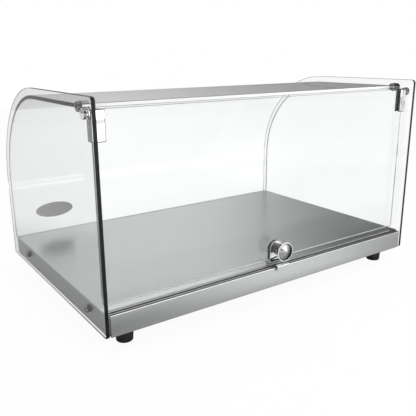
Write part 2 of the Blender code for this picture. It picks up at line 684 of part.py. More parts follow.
def pivot_cap(side, label):
    """Round cap outside; its sleeve passes through the glass and takes the door's pivot pin."""
    crown = CAP_HEIGHT / 3
    reach = HEAD_FACE_X - SIDE_IN_X + SEAT_GAP + RING_THICKNESS
    profile = [
        (-reach, 0), (-reach, SLEEVE_RADIUS), (0, SLEEVE_RADIUS), (0, CAP_RADIUS),
        (CAP_HEIGHT - crown, CAP_RADIUS), (CAP_HEIGHT - crown / 4, CAP_RADIUS - crown / 2),
        (CAP_HEIGHT, CAP_RADIUS - 2 * crown), (CAP_HEIGHT, 0),
    ]
    base = Vector((side * HEAD_FACE_X, PIVOT_Y, PIVOT_Z))
    out = Vector((side, 0, 0))
    part = turned(profile, base, out)
    bore = rod(base - out * (reach + CUT_OVERRUN), base + out * (CAP_HEIGHT - CAP_SKIN),
               PIN_RADIUS + SEAT_GAP)
    name_part(shade_round(cut(part, [bore])), "pivot_cap_" + label, "polished_chrome")


def pivot_ring(side, label):
    start = SIDE_IN_X - SEAT_GAP
    inner = SLEEVE_RADIUS + SEAT_GAP
    part = ring((side * start, PIVOT_Y, PIVOT_Z), (side * (start - RING_THICKNESS), PIVOT_Y, PIVOT_Z),
                inner + RING_WALL, inner, ROUND_SEGMENTS)
    name_part(shade_round(part), "pivot_ring_" + label, "polished_chrome")


def cap_gasket(side, label):
    """Thin disc between the side glass and the cap's head."""
    start = side * (SIDE_OUT_X + SEAT_GAP)
    end = side * (SIDE_OUT_X + SEAT_GAP + GASKET_THICKNESS)
    part = ring((start, PIVOT_Y, PIVOT_Z), (end, PIVOT_Y, PIVOT_Z), CAP_RADIUS - SEAT_GAP,
                SLEEVE_RADIUS + SEAT_GAP)
    name_part(part, "cap_gasket_" + label, "grey_nylon")


def pivot_origin(side):
    return (side * CLAMP_SIDE_X, PIVOT_Y, PIVOT_Z)


def hinge_pin(side, label):
    """Pin from the clamp's web into the bore of the cap."""
    inner = CLAMP_SIDE_X - CLAMP_WEB
    outer = HEAD_FACE_X + CAP_HEIGHT - CAP_SKIN - PIN_NOSE_GAP
    chamfer = PIN_RADIUS / 5
    length = outer - inner
    profile = [(0, 0), (0, PIN_RADIUS), (length - chamfer, PIN_RADIUS),
               (length, PIN_RADIUS - chamfer), (length, 0)]
    part = turned(profile, (side * inner, PIVOT_Y, PIVOT_Z), (side, 0, 0), HOLE_SEGMENTS)
    name_part(part, "hinge_pin_" + label, "steel_fastener", pivot_origin(side))


def grub_heights():
    low = CLAMP_BOTTOM_Z + GRUB_LOWEST
    return (low, low + GRUB_SPACING)


def clamp_middle_x():
    """Middle of the clamp's slot, where its grub screws stand."""
    return (CLAMP_INNER_X + DOOR_EDGE_X) / 2


def hinge_clamp(side, label):
    """Chrome block with a slot for the door glass, a pin hole in its web and two screw holes."""
    xs = sorted((side * CLAMP_SIDE_X, side * CLAMP_INNER_X))
    half = CLAMP_DEPTH / 2
    part = box((xs[0], PIVOT_Y - half, CLAMP_BOTTOM_Z), (xs[1], PIVOT_Y + half, DOOR_TOP_Z))
    bevel(part, CLAMP_EDGE_RADIUS)
    slot_xs = sorted((side * (CLAMP_SIDE_X - CLAMP_WEB), side * (CLAMP_INNER_X - CUT_OVERRUN)))
    slot = box((slot_xs[0], PIVOT_Y - CLAMP_SLOT / 2, CLAMP_BOTTOM_Z - CUT_OVERRUN),
               (slot_xs[1], PIVOT_Y + CLAMP_SLOT / 2, DOOR_TOP_Z + CUT_OVERRUN))
    web_out = CLAMP_SIDE_X + CUT_OVERRUN
    web_in = CLAMP_SIDE_X - CLAMP_WEB - CUT_OVERRUN
    cutters = [slot, rod((side * web_out, PIVOT_Y, PIVOT_Z), (side * web_in, PIVOT_Y, PIVOT_Z),
                         PIN_RADIUS + SEAT_GAP)]
    x = side * clamp_middle_x()
    for z in grub_heights():
        cutters.append(rod((x, PIVOT_Y, z), (x, PIVOT_Y + half + CUT_OVERRUN, z),
                           GRUB_RADIUS + SEAT_GAP))
    shade_round(cut(part, cutters))
    name_part(part, "hinge_clamp_" + label, "polished_chrome", pivot_origin(side))


def clamp_pad(side, label):
    """Pad folded round the edge of the door glass, inside the clamp's slot."""
    wrap = SEAT_GAP + PAD_THICKNESS
    low_z, high_z = CLAMP_BOTTOM_Z + PAD_MARGIN, DOOR_TOP_Z - PAD_MARGIN
    outer = GLASS_THICKNESS / 2 + wrap
    inner = GLASS_THICKNESS / 2 + SEAT_GAP
    xs = sorted((side * (DOOR_EDGE_X + wrap), side * (CLAMP_INNER_X + PAD_MARGIN)))
    part = box((xs[0], PIVOT_Y - outer, low_z), (xs[1], PIVOT_Y + outer, high_z))
    xs = sorted((side * (DOOR_EDGE_X + SEAT_GAP), side * (CLAMP_INNER_X - CUT_OVERRUN)))
    slot = box((xs[0], PIVOT_Y - inner, low_z - CUT_OVERRUN),
               (xs[1], PIVOT_Y + inner, high_z + CUT_OVERRUN))
    name_part(cut(part, [slot]), "clamp_pad_" + label, "grey_nylon", pivot_origin(side))


def clamp_screws(side, label):
    """Grub screws with a hex socket, in the clamp's rear wall."""
    x = side * clamp_middle_x()
    start = PIVOT_Y + CLAMP_SLOT / 2
    end = start + GRUB_LENGTH
    for z, place in zip(grub_heights(), ("lower", "upper")):
        body = rod((x, start, z), (x, end, z), GRUB_RADIUS)
        socket = rod((x, end - GRUB_SOCKET_DEPTH, z), (x, end + CUT_OVERRUN, z), GRUB_SOCKET_RADIUS, 6)
        name = "clamp_screw_" + label + "_" + place
        name_part(cut(body, [socket]), name, "steel_fastener", pivot_origin(side))


def door_axis():
    return (0, PIVOT_Y, PIVOT_Z)


def door_glass():
    """The lift-up pane, drilled for the knob's screw."""
    x, low, high = DOOR_EDGE_X, DOOR_BOTTOM_Z, DOOR_TOP_Z
    radius = DOOR_CORNER_RADIUS
    outline = (
        arc((radius - x, low + radius), radius, 2 * QUARTER, 3 * QUARTER, CORNER_STEPS)
        + arc((x - radius, low + radius), radius, 3 * QUARTER, 4 * QUARTER, CORNER_STEPS)
        + arc((x - radius, high - radius), radius, 0, QUARTER, CORNER_STEPS)
        + arc((radius - x, high - radius), radius, QUARTER, 2 * QUARTER, CORNER_STEPS)
    )
    hole = circle((0, KNOB_Z), KNOB_SCREW_RADIUS + SEAT_GAP)
    part = sheet([outline, hole], GLASS_THICKNESS, "XZ", PIVOT_Y)
    bevel(part, GLASS_ARRIS, steps=1)
    return name_part(part, "door_glass", "clear_glass", door_axis())


def arched(half_width, bottom, depth):
    """Upright block whose top is a half circle about the knob's axis."""
    top = arc((0, KNOB_Z), half_width, 0, 2 * QUARTER, ROUND_SEGMENTS // 2)
    return sheet([[(-half_width, bottom), (half_width, bottom)] + top], depth, "XZ", PIVOT_Y)


def knob_clip():
    """U-shaped clip that wraps the door's lower edge, with arched legs before and behind."""
    wrap = LINER_THICKNESS + 2 * SEAT_GAP
    bottom = DOOR_BOTTOM_Z - wrap - KNOB_CLIP_SHEET
    part = arched(KNOB_CLIP_WIDTH / 2, bottom, CLIP_DEPTH)
    bevel(part, KNOB_CLIP_SHEET / 3, steps=2)
    half = CLIP_DEPTH / 2 - KNOB_CLIP_SHEET
    reach = KNOB_CLIP_WIDTH
    slot = box((-reach, PIVOT_Y - half, DOOR_BOTTOM_Z - wrap),
               (reach, PIVOT_Y + half, KNOB_Z + reach))
    hole = rod((0, PIVOT_Y - CLIP_DEPTH, KNOB_Z), (0, PIVOT_Y + CLIP_DEPTH, KNOB_Z),
               KNOB_SCREW_RADIUS + SEAT_GAP)
    part = shade_round(cut(part, [slot, hole]))
    return name_part(part, "knob_clip", "polished_chrome", door_axis())


def clip_liner():
    """Soft liner between the clip and the glass."""
    depth = GLASS_THICKNESS + 2 * (SEAT_GAP + LINER_THICKNESS)
    bottom = DOOR_BOTTOM_Z - SEAT_GAP - LINER_THICKNESS
    half_width = KNOB_CLIP_WIDTH / 2 - LINER_MARGIN
    part = arched(half_width, bottom, depth)
    half = GLASS_THICKNESS / 2 + SEAT_GAP
    reach = KNOB_CLIP_WIDTH
    slot = box((-reach, PIVOT_Y - half, DOOR_BOTTOM_Z - SEAT_GAP),
               (reach, PIVOT_Y + half, KNOB_Z + reach))
    hole = rod((0, PIVOT_Y - depth, KNOB_Z), (0, PIVOT_Y + depth, KNOB_Z),
               KNOB_SCREW_RADIUS + SEAT_GAP)
    return name_part(cut(part, [slot, hole]), "clip_liner", "grey_nylon", door_axis())


def door_knob():
    """Turned knob: stem, neck, flared head with a raised rim, and a domed face."""
    neck = STEM_LENGTH + NECK_LENGTH
    rim = neck + HEAD_BACK_LENGTH
    inner = KNOB_RADIUS - RIM_WIDTH
    rim_top = rim + RIM_HEIGHT
    dome = KNOB_LENGTH - (rim_top - FACE_GROOVE)
    step = STEM_RADIUS - NECK_RADIUS
    flare = [
        (neck + HEAD_BACK_LENGTH * (1 - math.cos(turn)),
         NECK_RADIUS + (KNOB_RADIUS - NECK_RADIUS) * math.sin(turn))
        for turn in (QUARTER * i / CORNER_STEPS for i in range(1, CORNER_STEPS))
    ]
    face = [
        (rim_top - FACE_GROOVE + dome * math.sin(turn), inner * math.cos(turn))
        for turn in (QUARTER * i / (2 * CORNER_STEPS) for i in range(2 * CORNER_STEPS))
    ]
    profile = (
        [(0, 0), (0, STEM_RADIUS - RIM_EDGE), (RIM_EDGE, STEM_RADIUS)]
        + [(STEM_LENGTH - step / 3, STEM_RADIUS), (STEM_LENGTH, STEM_RADIUS - step / 3)]
        + [(STEM_LENGTH, NECK_RADIUS), (neck, NECK_RADIUS)] + flare
        + [(rim, KNOB_RADIUS - RIM_EDGE), (rim + RIM_EDGE, KNOB_RADIUS)]
        + [(rim_top - RIM_EDGE, KNOB_RADIUS), (rim_top, KNOB_RADIUS - RIM_EDGE)]
        + [(rim_top, inner + RIM_EDGE)] + face + [(KNOB_LENGTH, 0)]
    )
    base = Vector((0, GLASS_FRONT_Y + KNOB_SETBACK, KNOB_Z))
    part = turned(profile, base, (0, -1, 0), KNOB_SEGMENTS)
    bore = rod(base + Vector((0, CUT_OVERRUN, 0)), base - Vector((0, KNOB_BORE_DEPTH, 0)),
               KNOB_SCREW_RADIUS + SEAT_GAP)
    part = shade_round(cut(part, [bore]))
    return name_part(part, "door_knob", "polished_chrome", door_axis())


def knob_screw():
    """Screw behind the clip, through clip, liner and glass into the knob."""
    face = PIVOT_Y + CLIP_DEPTH / 2 + SEAT_GAP
    length = CLIP_DEPTH + 2 * SEAT_GAP + KNOB_BORE_DEPTH - SEAT_GAP
    part = pan_head((0, face, KNOB_Z), (0, 1, 0), KNOB_HEAD_RADIUS, KNOB_HEAD_HEIGHT,
                    KNOB_SCREW_RADIUS, length)
    return name_part(part, "knob_screw", "steel_fastener", door_axis())


def build():
    clear_scene()
    base_pan()
    deck_plate()
    front_fascia()
    fascia_tab()
    fascia_screws()
    for label, (x, y) in foot_places().items():
        foot("foot_" + label, x, y)
    foot_screws()
    curved_glass()
    curved_glass_seal()
    for side, label in ((-1, "left"), (1, "right")):
        side_glass(side)
        side_hardware(side, label)
        top_clip(side, label)
        clip_bolt(side, label)
        pivot_cap(side, label)
        pivot_ring(side, label)
        cap_gasket(side, label)
        hinge_clamp(side, label)
        hinge_pin(side, label)
        clamp_pad(side, label)
        clamp_screws(side, label)
    door_glass()
    knob_clip()
    clip_liner()
    door_knob()
    knob_screw()


build()
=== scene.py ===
# %% [markdown]
# # A countertop bakery case of bent glass
# The case is a shallow stainless base with a glass house on it: two flat side
# glasses, one bent sheet that is both far wall and roof, and a door that swings up
# on two chrome clamps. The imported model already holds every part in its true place,
# in metres, with up along +Z. This script keeps those places and adds what a
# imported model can't hold: smooth edges, ground glass, grain, chrome and light.

import json
import math

import bmesh
import bpy
from mathutils import Matrix, Vector


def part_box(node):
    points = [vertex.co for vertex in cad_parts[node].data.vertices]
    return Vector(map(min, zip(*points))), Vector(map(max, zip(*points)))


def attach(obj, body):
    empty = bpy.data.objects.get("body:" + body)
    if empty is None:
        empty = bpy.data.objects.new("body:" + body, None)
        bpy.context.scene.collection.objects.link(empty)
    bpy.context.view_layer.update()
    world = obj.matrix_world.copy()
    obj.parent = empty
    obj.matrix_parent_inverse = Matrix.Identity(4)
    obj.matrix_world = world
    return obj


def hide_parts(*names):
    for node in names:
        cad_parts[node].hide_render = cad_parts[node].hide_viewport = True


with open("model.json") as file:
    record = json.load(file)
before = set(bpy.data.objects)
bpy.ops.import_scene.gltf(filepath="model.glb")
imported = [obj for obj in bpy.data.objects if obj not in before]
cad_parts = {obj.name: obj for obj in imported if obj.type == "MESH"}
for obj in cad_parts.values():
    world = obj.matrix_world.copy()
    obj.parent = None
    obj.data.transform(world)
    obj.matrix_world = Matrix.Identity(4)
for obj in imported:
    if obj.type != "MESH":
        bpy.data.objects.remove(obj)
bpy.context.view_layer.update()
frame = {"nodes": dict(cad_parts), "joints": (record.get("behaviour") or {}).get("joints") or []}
nodes = frame["nodes"]


def middle_of(name):
    """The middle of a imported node's box."""
    low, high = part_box(name)
    return (low + high) / 2


# %% [markdown]
# ## Camera
# The photograph looks down a little on the operator's side from its left. A camera
# could be moved by eye until the picture fits, but the place and the lens here come
# from the corners of the case, so that every edge falls where the picture has it.
# A heading, a tilt and a roll are easier to read than a matrix, so the camera's
# matrix is made from those three.

# %% Camera
CAMERA_PLACE = Vector((-0.5096, -0.7247, 0.3513))
CAMERA_YAW = math.radians(34.801)      # from +Y towards +X
CAMERA_PITCH = math.radians(15.895)    # downwards
CAMERA_ROLL = -0.0066                  # in radians
CAMERA_LENS, SENSOR_WIDTH = 46.89, 36  # in mm
NEAREST_SEEN = 0.01


def view_matrix(place, yaw, pitch, roll):
    """A camera's matrix from a compass heading, a downward tilt and a roll."""
    ahead = Vector((math.sin(yaw) * math.cos(pitch), math.cos(yaw) * math.cos(pitch),
                    -math.sin(pitch)))
    right = Vector((math.cos(yaw), -math.sin(yaw), 0))
    up = right.cross(ahead)
    right, up = (math.cos(roll) * right + math.sin(roll) * up,
                 math.cos(roll) * up - math.sin(roll) * right)
    turn = Matrix((right, up, -ahead)).transposed().to_4x4()
    return Matrix.Translation(place) @ turn


camera_data = bpy.data.cameras.new("camera")
camera_data.lens = CAMERA_LENS
camera_data.sensor_width = SENSOR_WIDTH
camera_data.clip_start = NEAREST_SEEN
camera = bpy.data.objects.new("camera", camera_data)
bpy.context.scene.collection.objects.link(camera)
camera.matrix_world = view_matrix(CAMERA_PLACE, CAMERA_YAW, CAMERA_PITCH, CAMERA_ROLL)
bpy.context.scene.camera = camera
bpy.context.scene.view_settings.view_transform = "Standard"
print("camera at", [round(c, 3) for c in camera.location])

# %% [markdown]
# ## Nodes in short
# A material or a world is a small graph. Writing each node on its own lines gets
# long, so these helpers add a node, set its sockets and join them: a value that is
# a socket is linked, any other value is set.

# %% Node helpers


def empty_tree(owner):
    """The node tree of a material or a world, with nothing in it."""
    owner.use_nodes = True
    owner.node_tree.nodes.clear()
    return owner.node_tree


def add(tree, kind, inputs=None, **settings):
    """Adds a node, with its settings, and sets or links its inputs."""
    node = tree.nodes.new(kind)
    for key, value in settings.items():
        setattr(node, key, value)
    for key, value in (inputs or {}).items():
        if isinstance(value, bpy.types.NodeSocket):
            tree.links.new(value, node.inputs[key])
        else:
            node.inputs[key].default_value = value
    return node


def maths(tree, operation, first, second=0.0):
    """One Math node and its result."""
    return add(tree, "ShaderNodeMath", {0: first, 1: second}, operation=operation).outputs[0]


def ramp(tree, value, span, low=0.0, high=1.0, shape="SMOOTHSTEP"):
    """Goes from low to high while value goes over a span, which is (start, end)."""
    node = add(tree, "ShaderNodeMapRange", {0: value, 1: span[0], 2: span[1], 3: low, 4: high},
               interpolation_type=shape)
    return node.outputs[0]


def between(tree, mask, first, second):
    """The first value where the mask is 0, and the second where it is 1."""
    return add(tree, "ShaderNodeMix", {0: mask, 2: first, 3: second}).outputs[0]


def tone(tree, mask, first, second):
    """The same for colours, each of them a socket or its red, green and blue."""
    first, second = [colour if isinstance(colour, bpy.types.NodeSocket) else (*colour, 1)
                     for colour in (first, second)]
    return add(tree, "ShaderNodeMix", {0: mask, 6: first, 7: second},
               data_type="RGBA").outputs[2]


def object_place(tree):
    """The Object coordinates, which on this case are places in metres."""
    return add(tree, "ShaderNodeTexCoord").outputs["Object"]


def axes_of(tree, vector):
    """A vector's x, y and z."""
    return add(tree, "ShaderNodeSeparateXYZ", {0: vector}).outputs


# %% [markdown]
# ## What the camera sees straight
# The picture's background is a pure white, but a room as white as that would leave
# steel and glass with nothing dark to mirror. So the camera gets a white of strength
# 1 where it looks past the case or straight through its glass, and mirrors get the
# studio. The Light Path node tells the two kinds of rays apart.

# %% Straight view
WHITE = (1, 1, 1, 1)
ANY_TURN = 0.5              # a depth above this has been mirrored or scattered at least once


def straight_view(tree):
    """1 for camera rays and for those that only went through glass since the camera."""
    path = add(tree, "ShaderNodeLightPath").outputs
    turned_back = maths(tree, "ADD", path["Diffuse Depth"], path["Glossy Depth"])
    untouched = maths(tree, "LESS_THAN", turned_back, ANY_TURN)
    through = maths(tree, "MULTIPLY", path["Is Transmission Ray"], untouched)
    return maths(tree, "MAXIMUM", path["Is Camera Ray"], through)


# %% [markdown]
# ## The studio
# Glass and steel look like what stands around them. The picture was taken in a white
# sweep with darker sides: the plate inside the case is bright on the left and turns
# dark to the right, because there it mirrors the end of the sweep. A panorama could
# be wrapped round the scene, but a few soft steps say the same and stay easy to
# change. So the world is a plain studio by direction, in degrees: `heading` round
# the case from +Y towards +X, and `height` above the horizon. A pair of angles is
# where one part of the studio starts to pass into the next, and where it has.

# %% Parts of the studio
CARD_LEVEL = 0.95           # the lit sweep behind the case
END_LEVEL = 0.08            # where the sweep ends, right of it
ROOM_LEVEL = 0.20           # the room on the operator's side
CEILING_LEVEL = 0.95
CARD_TOP_SHARE = 0.85       # how much of its level the sweep keeps near its top
SWEEP_ENDS = (33, 51)       # headings: the sweep ends, and the room begins on either side
RIGHT_ROOM = (90, 140)
LEFT_ROOM = (-125, -70)
SWEEP_DIMS = (14, 36)       # heights: the sweep dims, and passes into the ceiling
CEILING_STARTS = (38, 60)
BAND_TOP = (9, 13)          # a dull band along the sweep's foot, and its levels by heading
BAND_BRIGHTENS, BAND_LEVELS = (-25, 10), (0.33, 0.60)
BAND_DIMS, BAND_LOSS = (22, 52), 0.32
FRONT_SIDE = (90, 110)      # the lit paper low in front, either way from the middle
FRONT_TOP = (8, 2)

# %% [markdown]
# ## World
# The studio is laid over itself in steps: the sweep with its two ends, the dull band
# along its foot, the lit paper in front, and the ceiling. An image could hold the
# same levels, but each of these can be moved or dimmed by itself.

# %% World
world = bpy.data.worlds.new("studio")
bpy.context.scene.world = world
tree = empty_tree(world)
x, y, z = axes_of(tree, add(tree, "ShaderNodeTexCoord").outputs["Generated"])
heading = maths(tree, "DEGREES", maths(tree, "ARCTAN2", x, y))
height = maths(tree, "DEGREES", maths(tree, "ARCSINE", z))

sweep = ramp(tree, heading, SWEEP_ENDS, CARD_LEVEL, END_LEVEL)
sweep = maths(tree, "ADD", sweep, ramp(tree, heading, RIGHT_ROOM, 0, ROOM_LEVEL - END_LEVEL))
sweep = maths(tree, "MINIMUM", sweep, ramp(tree, heading, LEFT_ROOM, ROOM_LEVEL, 1))
sweep = maths(tree, "MULTIPLY", sweep, ramp(tree, height, SWEEP_DIMS, 1, CARD_TOP_SHARE))
band = maths(tree, "ADD", ramp(tree, heading, BAND_BRIGHTENS, *BAND_LEVELS),
             ramp(tree, heading, BAND_DIMS, 0, -BAND_LOSS))
level = between(tree, ramp(tree, height, BAND_TOP), band, sweep)
in_front = maths(tree, "MULTIPLY", ramp(tree, maths(tree, "ABSOLUTE", heading), FRONT_SIDE),
                 ramp(tree, height, FRONT_TOP))
level = between(tree, in_front, level, CARD_LEVEL)
level = between(tree, ramp(tree, height, CEILING_STARTS), level, CEILING_LEVEL)

studio_light = add(tree, "ShaderNodeBackground", {"Color": WHITE, "Strength": level})
backdrop = add(tree, "ShaderNodeBackground", {"Color": WHITE, "Strength": 1.0})
both = add(tree, "ShaderNodeMixShader",
           {0: straight_view(tree), 1: studio_light.outputs[0], 2: backdrop.outputs[0]})
add(tree, "ShaderNodeOutputWorld", {"Surface": both.outputs[0]})
print("world nodes:", len(tree.nodes))

# %% [markdown]
# ## Floor
# The case stands on a pale sheet of paper. A floor that only glows would need no
# lamps, but the case would float on it, so this one is lit like any matt paper and
# keeps a soft shadow. Seen straight it is mostly a plain white, as the background is.

# %% Floor sheet
FLOOR_REACH = 3.0           # half its side

bm = bmesh.new()
bmesh.ops.create_grid(bm, x_segments=2, y_segments=2, size=FLOOR_REACH)
floor_mesh = bpy.data.meshes.new("floor")
bm.to_mesh(floor_mesh)
bm.free()
floor = bpy.data.objects.new("floor", floor_mesh)
bpy.context.scene.collection.objects.link(floor)
print("floor reaches", FLOOR_REACH, "m each way")

# %% [markdown]
# ## The floor in a mirror
# The fascia, the deck and the door all mirror the paper, and each of them shows
# another stretch of it: a strip just before the base, the paper beside and behind the
# case, and the paper far out in front. In the picture these stretches aren't equally
# bright. Cards and lamps under and over the paper could bring that about, but they
# would also change the light on the case. So rays that come from a mirror meet a
# floor with levels of its own, by place. A pair of places, in metres, is where one
# stretch starts to pass into the next, and where it has.

# %% Stretches of the mirrored floor
STRIP_BRIGHTENS, STRIP_LEVELS = (-0.30, 0.08), (0.12, 0.98)     # before the base, by x
STRIP_DIMS, STRIP_LOSS = (0.12, 0.42), 0.68
STRIP_ENDS, STRIP_REST = (-0.29, -0.33), 0.70                   # by y, and the level past it
BESIDE, BESIDE_LEVELS = (-0.42, -0.58), (0.36, 0.92)            # left of the case, by x
FAR_AWAY, FAR_BACK_LEVEL = (0.46, 0.62), 0.72                   # from the middle of the case
FRONT_STARTS = (-0.19, -0.25)                                   # by y
UNDER_X, UNDER_Y, UNDER_LEVEL = (0.30, 0.26), (0.21, 0.17), 0.10
FAR_FRONT_STARTS, FAR_FRONT_LEVEL = (-0.37, -0.44), 1.08        # by y
OUTER_STARTS = (-0.55, -0.85)                                   # by y
OUTER_DIMS, OUTER_LEVELS = (0.60, 0.95), (1.75, 1.10)           # by the slant to the right
OUTER_ENDS, OUTER_LOSS = (1.34, 1.44), 0.50


def mirrored_floor(tree):
    """How bright the paper is in a mirror, where 1 is the white of the background."""
    place = object_place(tree)
    x, y, _ = axes_of(tree, place)
    strip = maths(tree, "SUBTRACT", ramp(tree, x, STRIP_BRIGHTENS, *STRIP_LEVELS),
                  ramp(tree, x, STRIP_DIMS, 0, STRIP_LOSS))
    strip = between(tree, ramp(tree, y, STRIP_ENDS), strip, STRIP_REST)
    away = add(tree, "ShaderNodeVectorMath", {0: place}, operation="LENGTH").outputs["Value"]
    beside = between(tree, ramp(tree, away, FAR_AWAY), ramp(tree, x, BESIDE, *BESIDE_LEVELS),
                     FAR_BACK_LEVEL)
    near = between(tree, ramp(tree, y, FRONT_STARTS), beside, strip)
    across, along = maths(tree, "ABSOLUTE", x), maths(tree, "ABSOLUTE", y)
    under = maths(tree, "MULTIPLY", ramp(tree, across, UNDER_X), ramp(tree, along, UNDER_Y))
    near = between(tree, under, near, UNDER_LEVEL)
    slant = maths(tree, "DIVIDE", x, along)
    outer = maths(tree, "SUBTRACT", ramp(tree, slant, OUTER_DIMS, *OUTER_LEVELS),
                  ramp(tree, slant, OUTER_ENDS, 0, OUTER_LOSS))
    far = between(tree, ramp(tree, y, OUTER_STARTS), FAR_FRONT_LEVEL, outer)
    return between(tree, ramp(tree, y, FAR_FRONT_STARTS), near, far)


# %% [markdown]
# ## Paper
# Paper is a matt white with a fine fibre, which a small noise gives. The material
# sorts its rays: mirrored ones get most of their light from the levels above,
# straight ones nearly all of it from a plain white, and the rest meet the paper.

# %% Paper floor
PAPER_TONES = ((0.83, 0.83, 0.83), (0.86, 0.86, 0.86))
FIBRES_A_METRE = 240.0
MIRRORED_SHARE = 0.85       # how much of what mirrors show is the floor's own level
WHITE_SHARE = 0.95          # how much of what the camera sees is the plain white

paper = bpy.data.materials.new("white paper floor")
tree = empty_tree(paper)
fibre = add(tree, "ShaderNodeTexNoise", {"Vector": object_place(tree), "Scale": FIBRES_A_METRE})
matt = add(tree, "ShaderNodeBsdfDiffuse", {"Color": tone(tree, fibre.outputs[0], *PAPER_TONES)})
glow = add(tree, "ShaderNodeEmission", {"Color": WHITE, "Strength": mirrored_floor(tree)})
plain = add(tree, "ShaderNodeEmission", {"Color": WHITE, "Strength": 1.0})
glossy_depth = add(tree, "ShaderNodeLightPath").outputs["Glossy Depth"]
mirrored = maths(tree, "MULTIPLY", maths(tree, "GREATER_THAN", glossy_depth, ANY_TURN),
                 MIRRORED_SHARE)
lit = add(tree, "ShaderNodeMixShader", {0: mirrored, 1: matt.outputs[0], 2: glow.outputs[0]})
seen = maths(tree, "MULTIPLY", straight_view(tree), WHITE_SHARE)
sight = add(tree, "ShaderNodeMixShader", {0: seen, 1: lit.outputs[0], 2: plain.outputs[0]})
add(tree, "ShaderNodeOutputMaterial", {"Surface": sight.outputs[0]})
floor.data.materials.append(paper)
print("paper nodes:", len(tree.nodes))

# %% [markdown]
# ## Lamps
# Three soft panels carry the light: a wide one over the case, one in front and to
# the right, and a wide weak one that fills the front. Small lamps would throw hard
# shadows that the picture doesn't have. Only the panel on the right is let into
# mirrors, where it is the highlight on the knob and on the bends: the other two
# would show as white squares in the flat steel. The camera sees none of them, neither
# directly nor through the glass.

# %% Lamps


def soft_panel(name, place, target, size, watts, in_mirrors=False):
    """An area lamp of (width, depth), turned from its place to a target."""
    data = bpy.data.lights.new(name, "AREA")
    data.shape = "RECTANGLE"
    data.size, data.size_y = size
    data.energy = watts
    lamp = bpy.data.objects.new(name, data)
    bpy.context.scene.collection.objects.link(lamp)
    turn = (Vector(target) - Vector(place)).to_track_quat("-Z", "Y").to_matrix().to_4x4()
    lamp.matrix_world = Matrix.Translation(place) @ turn
    lamp.visible_camera = False
    lamp.visible_transmission = False
    lamp.visible_glossy = in_mirrors


soft_panel("panel over the case", place=(0.1, -0.1, 1.7), target=(0, 0, 0.1), size=(1.5, 1.1),
           watts=9)
soft_panel("panel front right", place=(0.74, -1.40, 0.73), target=(0, -0.17, 0.1),
           size=(1.6, 1.0), watts=14, in_mirrors=True)
soft_panel("wide panel in front", place=(-0.1, -2.0, 1.2), target=(0, -0.15, 0.2),
           size=(1.6, 1.0), watts=8)

# %% [markdown]
# ## Finishes shared by several materials
# Brushed steel is steel with thousands of fine scratches in one direction. They
# could be cut into the sheet, but a noise that is stretched about two hundred times
# along one axis is enough at this size. Handling marks are the opposite: wide, faint
# clouds where the surface is a little duller. Both are used by more than one material,
# so each is a node group, and these helpers make a group and place it.

# %% Group helpers


def new_group(name, inputs, outputs):
    """A shader node group with named sockets."""
    group = bpy.data.node_groups.new(name, "ShaderNodeTree")
    for label, default in inputs.items():
        kind = "NodeSocketVector" if label == "Scale" else "NodeSocketFloat"
        group.interface.new_socket(label, in_out="INPUT", socket_type=kind).default_value = default
    for label in outputs:
        group.interface.new_socket(label, in_out="OUTPUT", socket_type="NodeSocketFloat")
    given, result = group.nodes.new("NodeGroupInput"), group.nodes.new("NodeGroupOutput")
    return group, given.outputs, result.inputs


def use_group(tree, name, **inputs):
    """Places a group in a material with that material's own values."""
    return add(tree, "ShaderNodeGroup", inputs, node_tree=bpy.data.node_groups[name]).outputs


# %% [markdown]
# ## Scratches and clouds
# The first group stretches a noise along one axis and puts out the scratches, with a
# roughness that follows them. The second puts out soft clouds of a given size, with a
# roughness too. A wave texture could draw the scratches, but its lines are too even.

# %% Grain and marks
NOISE_SPAN = (0.3, 0.7)     # a noise hardly leaves this span
CLOUD_EDGE = (0.4, 0.65)    # where in the noise a cloud starts, and where it is full

grain, given, result = new_group("brushed grain", {"Scale": (1, 1, 1), "Low": 0.0, "High": 1.0},
                                 ["Scratches", "Roughness"])
stretched = add(grain, "ShaderNodeMapping",
                {"Vector": object_place(grain), "Scale": given["Scale"]})
scratches = add(grain, "ShaderNodeTexNoise", {"Vector": stretched.outputs[0], "Scale": 1.0,
                                              "Detail": 4.0, "Roughness": 0.6}).outputs[0]
roughness = ramp(grain, scratches, NOISE_SPAN, given["Low"], given["High"], "LINEAR")
grain.links.new(scratches, result["Scratches"])
grain.links.new(roughness, result["Roughness"])

marks, given, result = new_group("handling marks", {"Size": 0.04, "Low": 0.0, "High": 1.0},
                                 ["Roughness", "Mask"])
clouds = add(marks, "ShaderNodeTexNoise",
             {"Vector": object_place(marks), "Scale": maths(marks, "DIVIDE", 1.0, given["Size"]),
              "Detail": 3.0})
mask = ramp(marks, clouds.outputs[0], CLOUD_EDGE)
roughness = ramp(marks, mask, (0, 1), given["Low"], given["High"], "LINEAR")
marks.links.new(mask, result["Mask"])
marks.links.new(roughness, result["Roughness"])
print("groups:", [group.name for group in bpy.data.node_groups])

# %% [markdown]
# ## Brushed sheet
# The fascia, its tab and the deck are sheet that was brushed along the case, and the
# pan under them is plain mill sheet. One material could serve them all, but the deck
# is smoother than the fascia, and mill sheet has a short, faint grain. So a function
# makes the graph, and each sheet gives it a colour that the scratches vary a little,
# a roughness and a bump of at most three micrometres, as low as real scratches are.

# %% Brushed metals
MICROMETRE = 0.000001
# Painted reflection: the deck's strip before the door gets this brighter tone for the light that
# it mirrors.
PAINTED_LIGHT_TONE = (0.76, 0.775, 0.77)
STRIP_GLOSS = 0.10         # how much less rough the painted light strip is


def shade(tree, **inputs):
    """A Principled shader joined to the material's output."""
    sockets = {key.replace("_", " "): value for key, value in inputs.items()}
    shader = add(tree, "ShaderNodeBsdfPrincipled", sockets)
    add(tree, "ShaderNodeOutputMaterial", {"Surface": shader.outputs[0]})


def relief_of(tree, height, depth):
    """The normal of a surface with a relief, which is depth high where height is 1."""
    relief = add(tree, "ShaderNodeBump", {"Height": height, "Strength": 1.0, "Distance": depth})
    return relief.outputs[0]


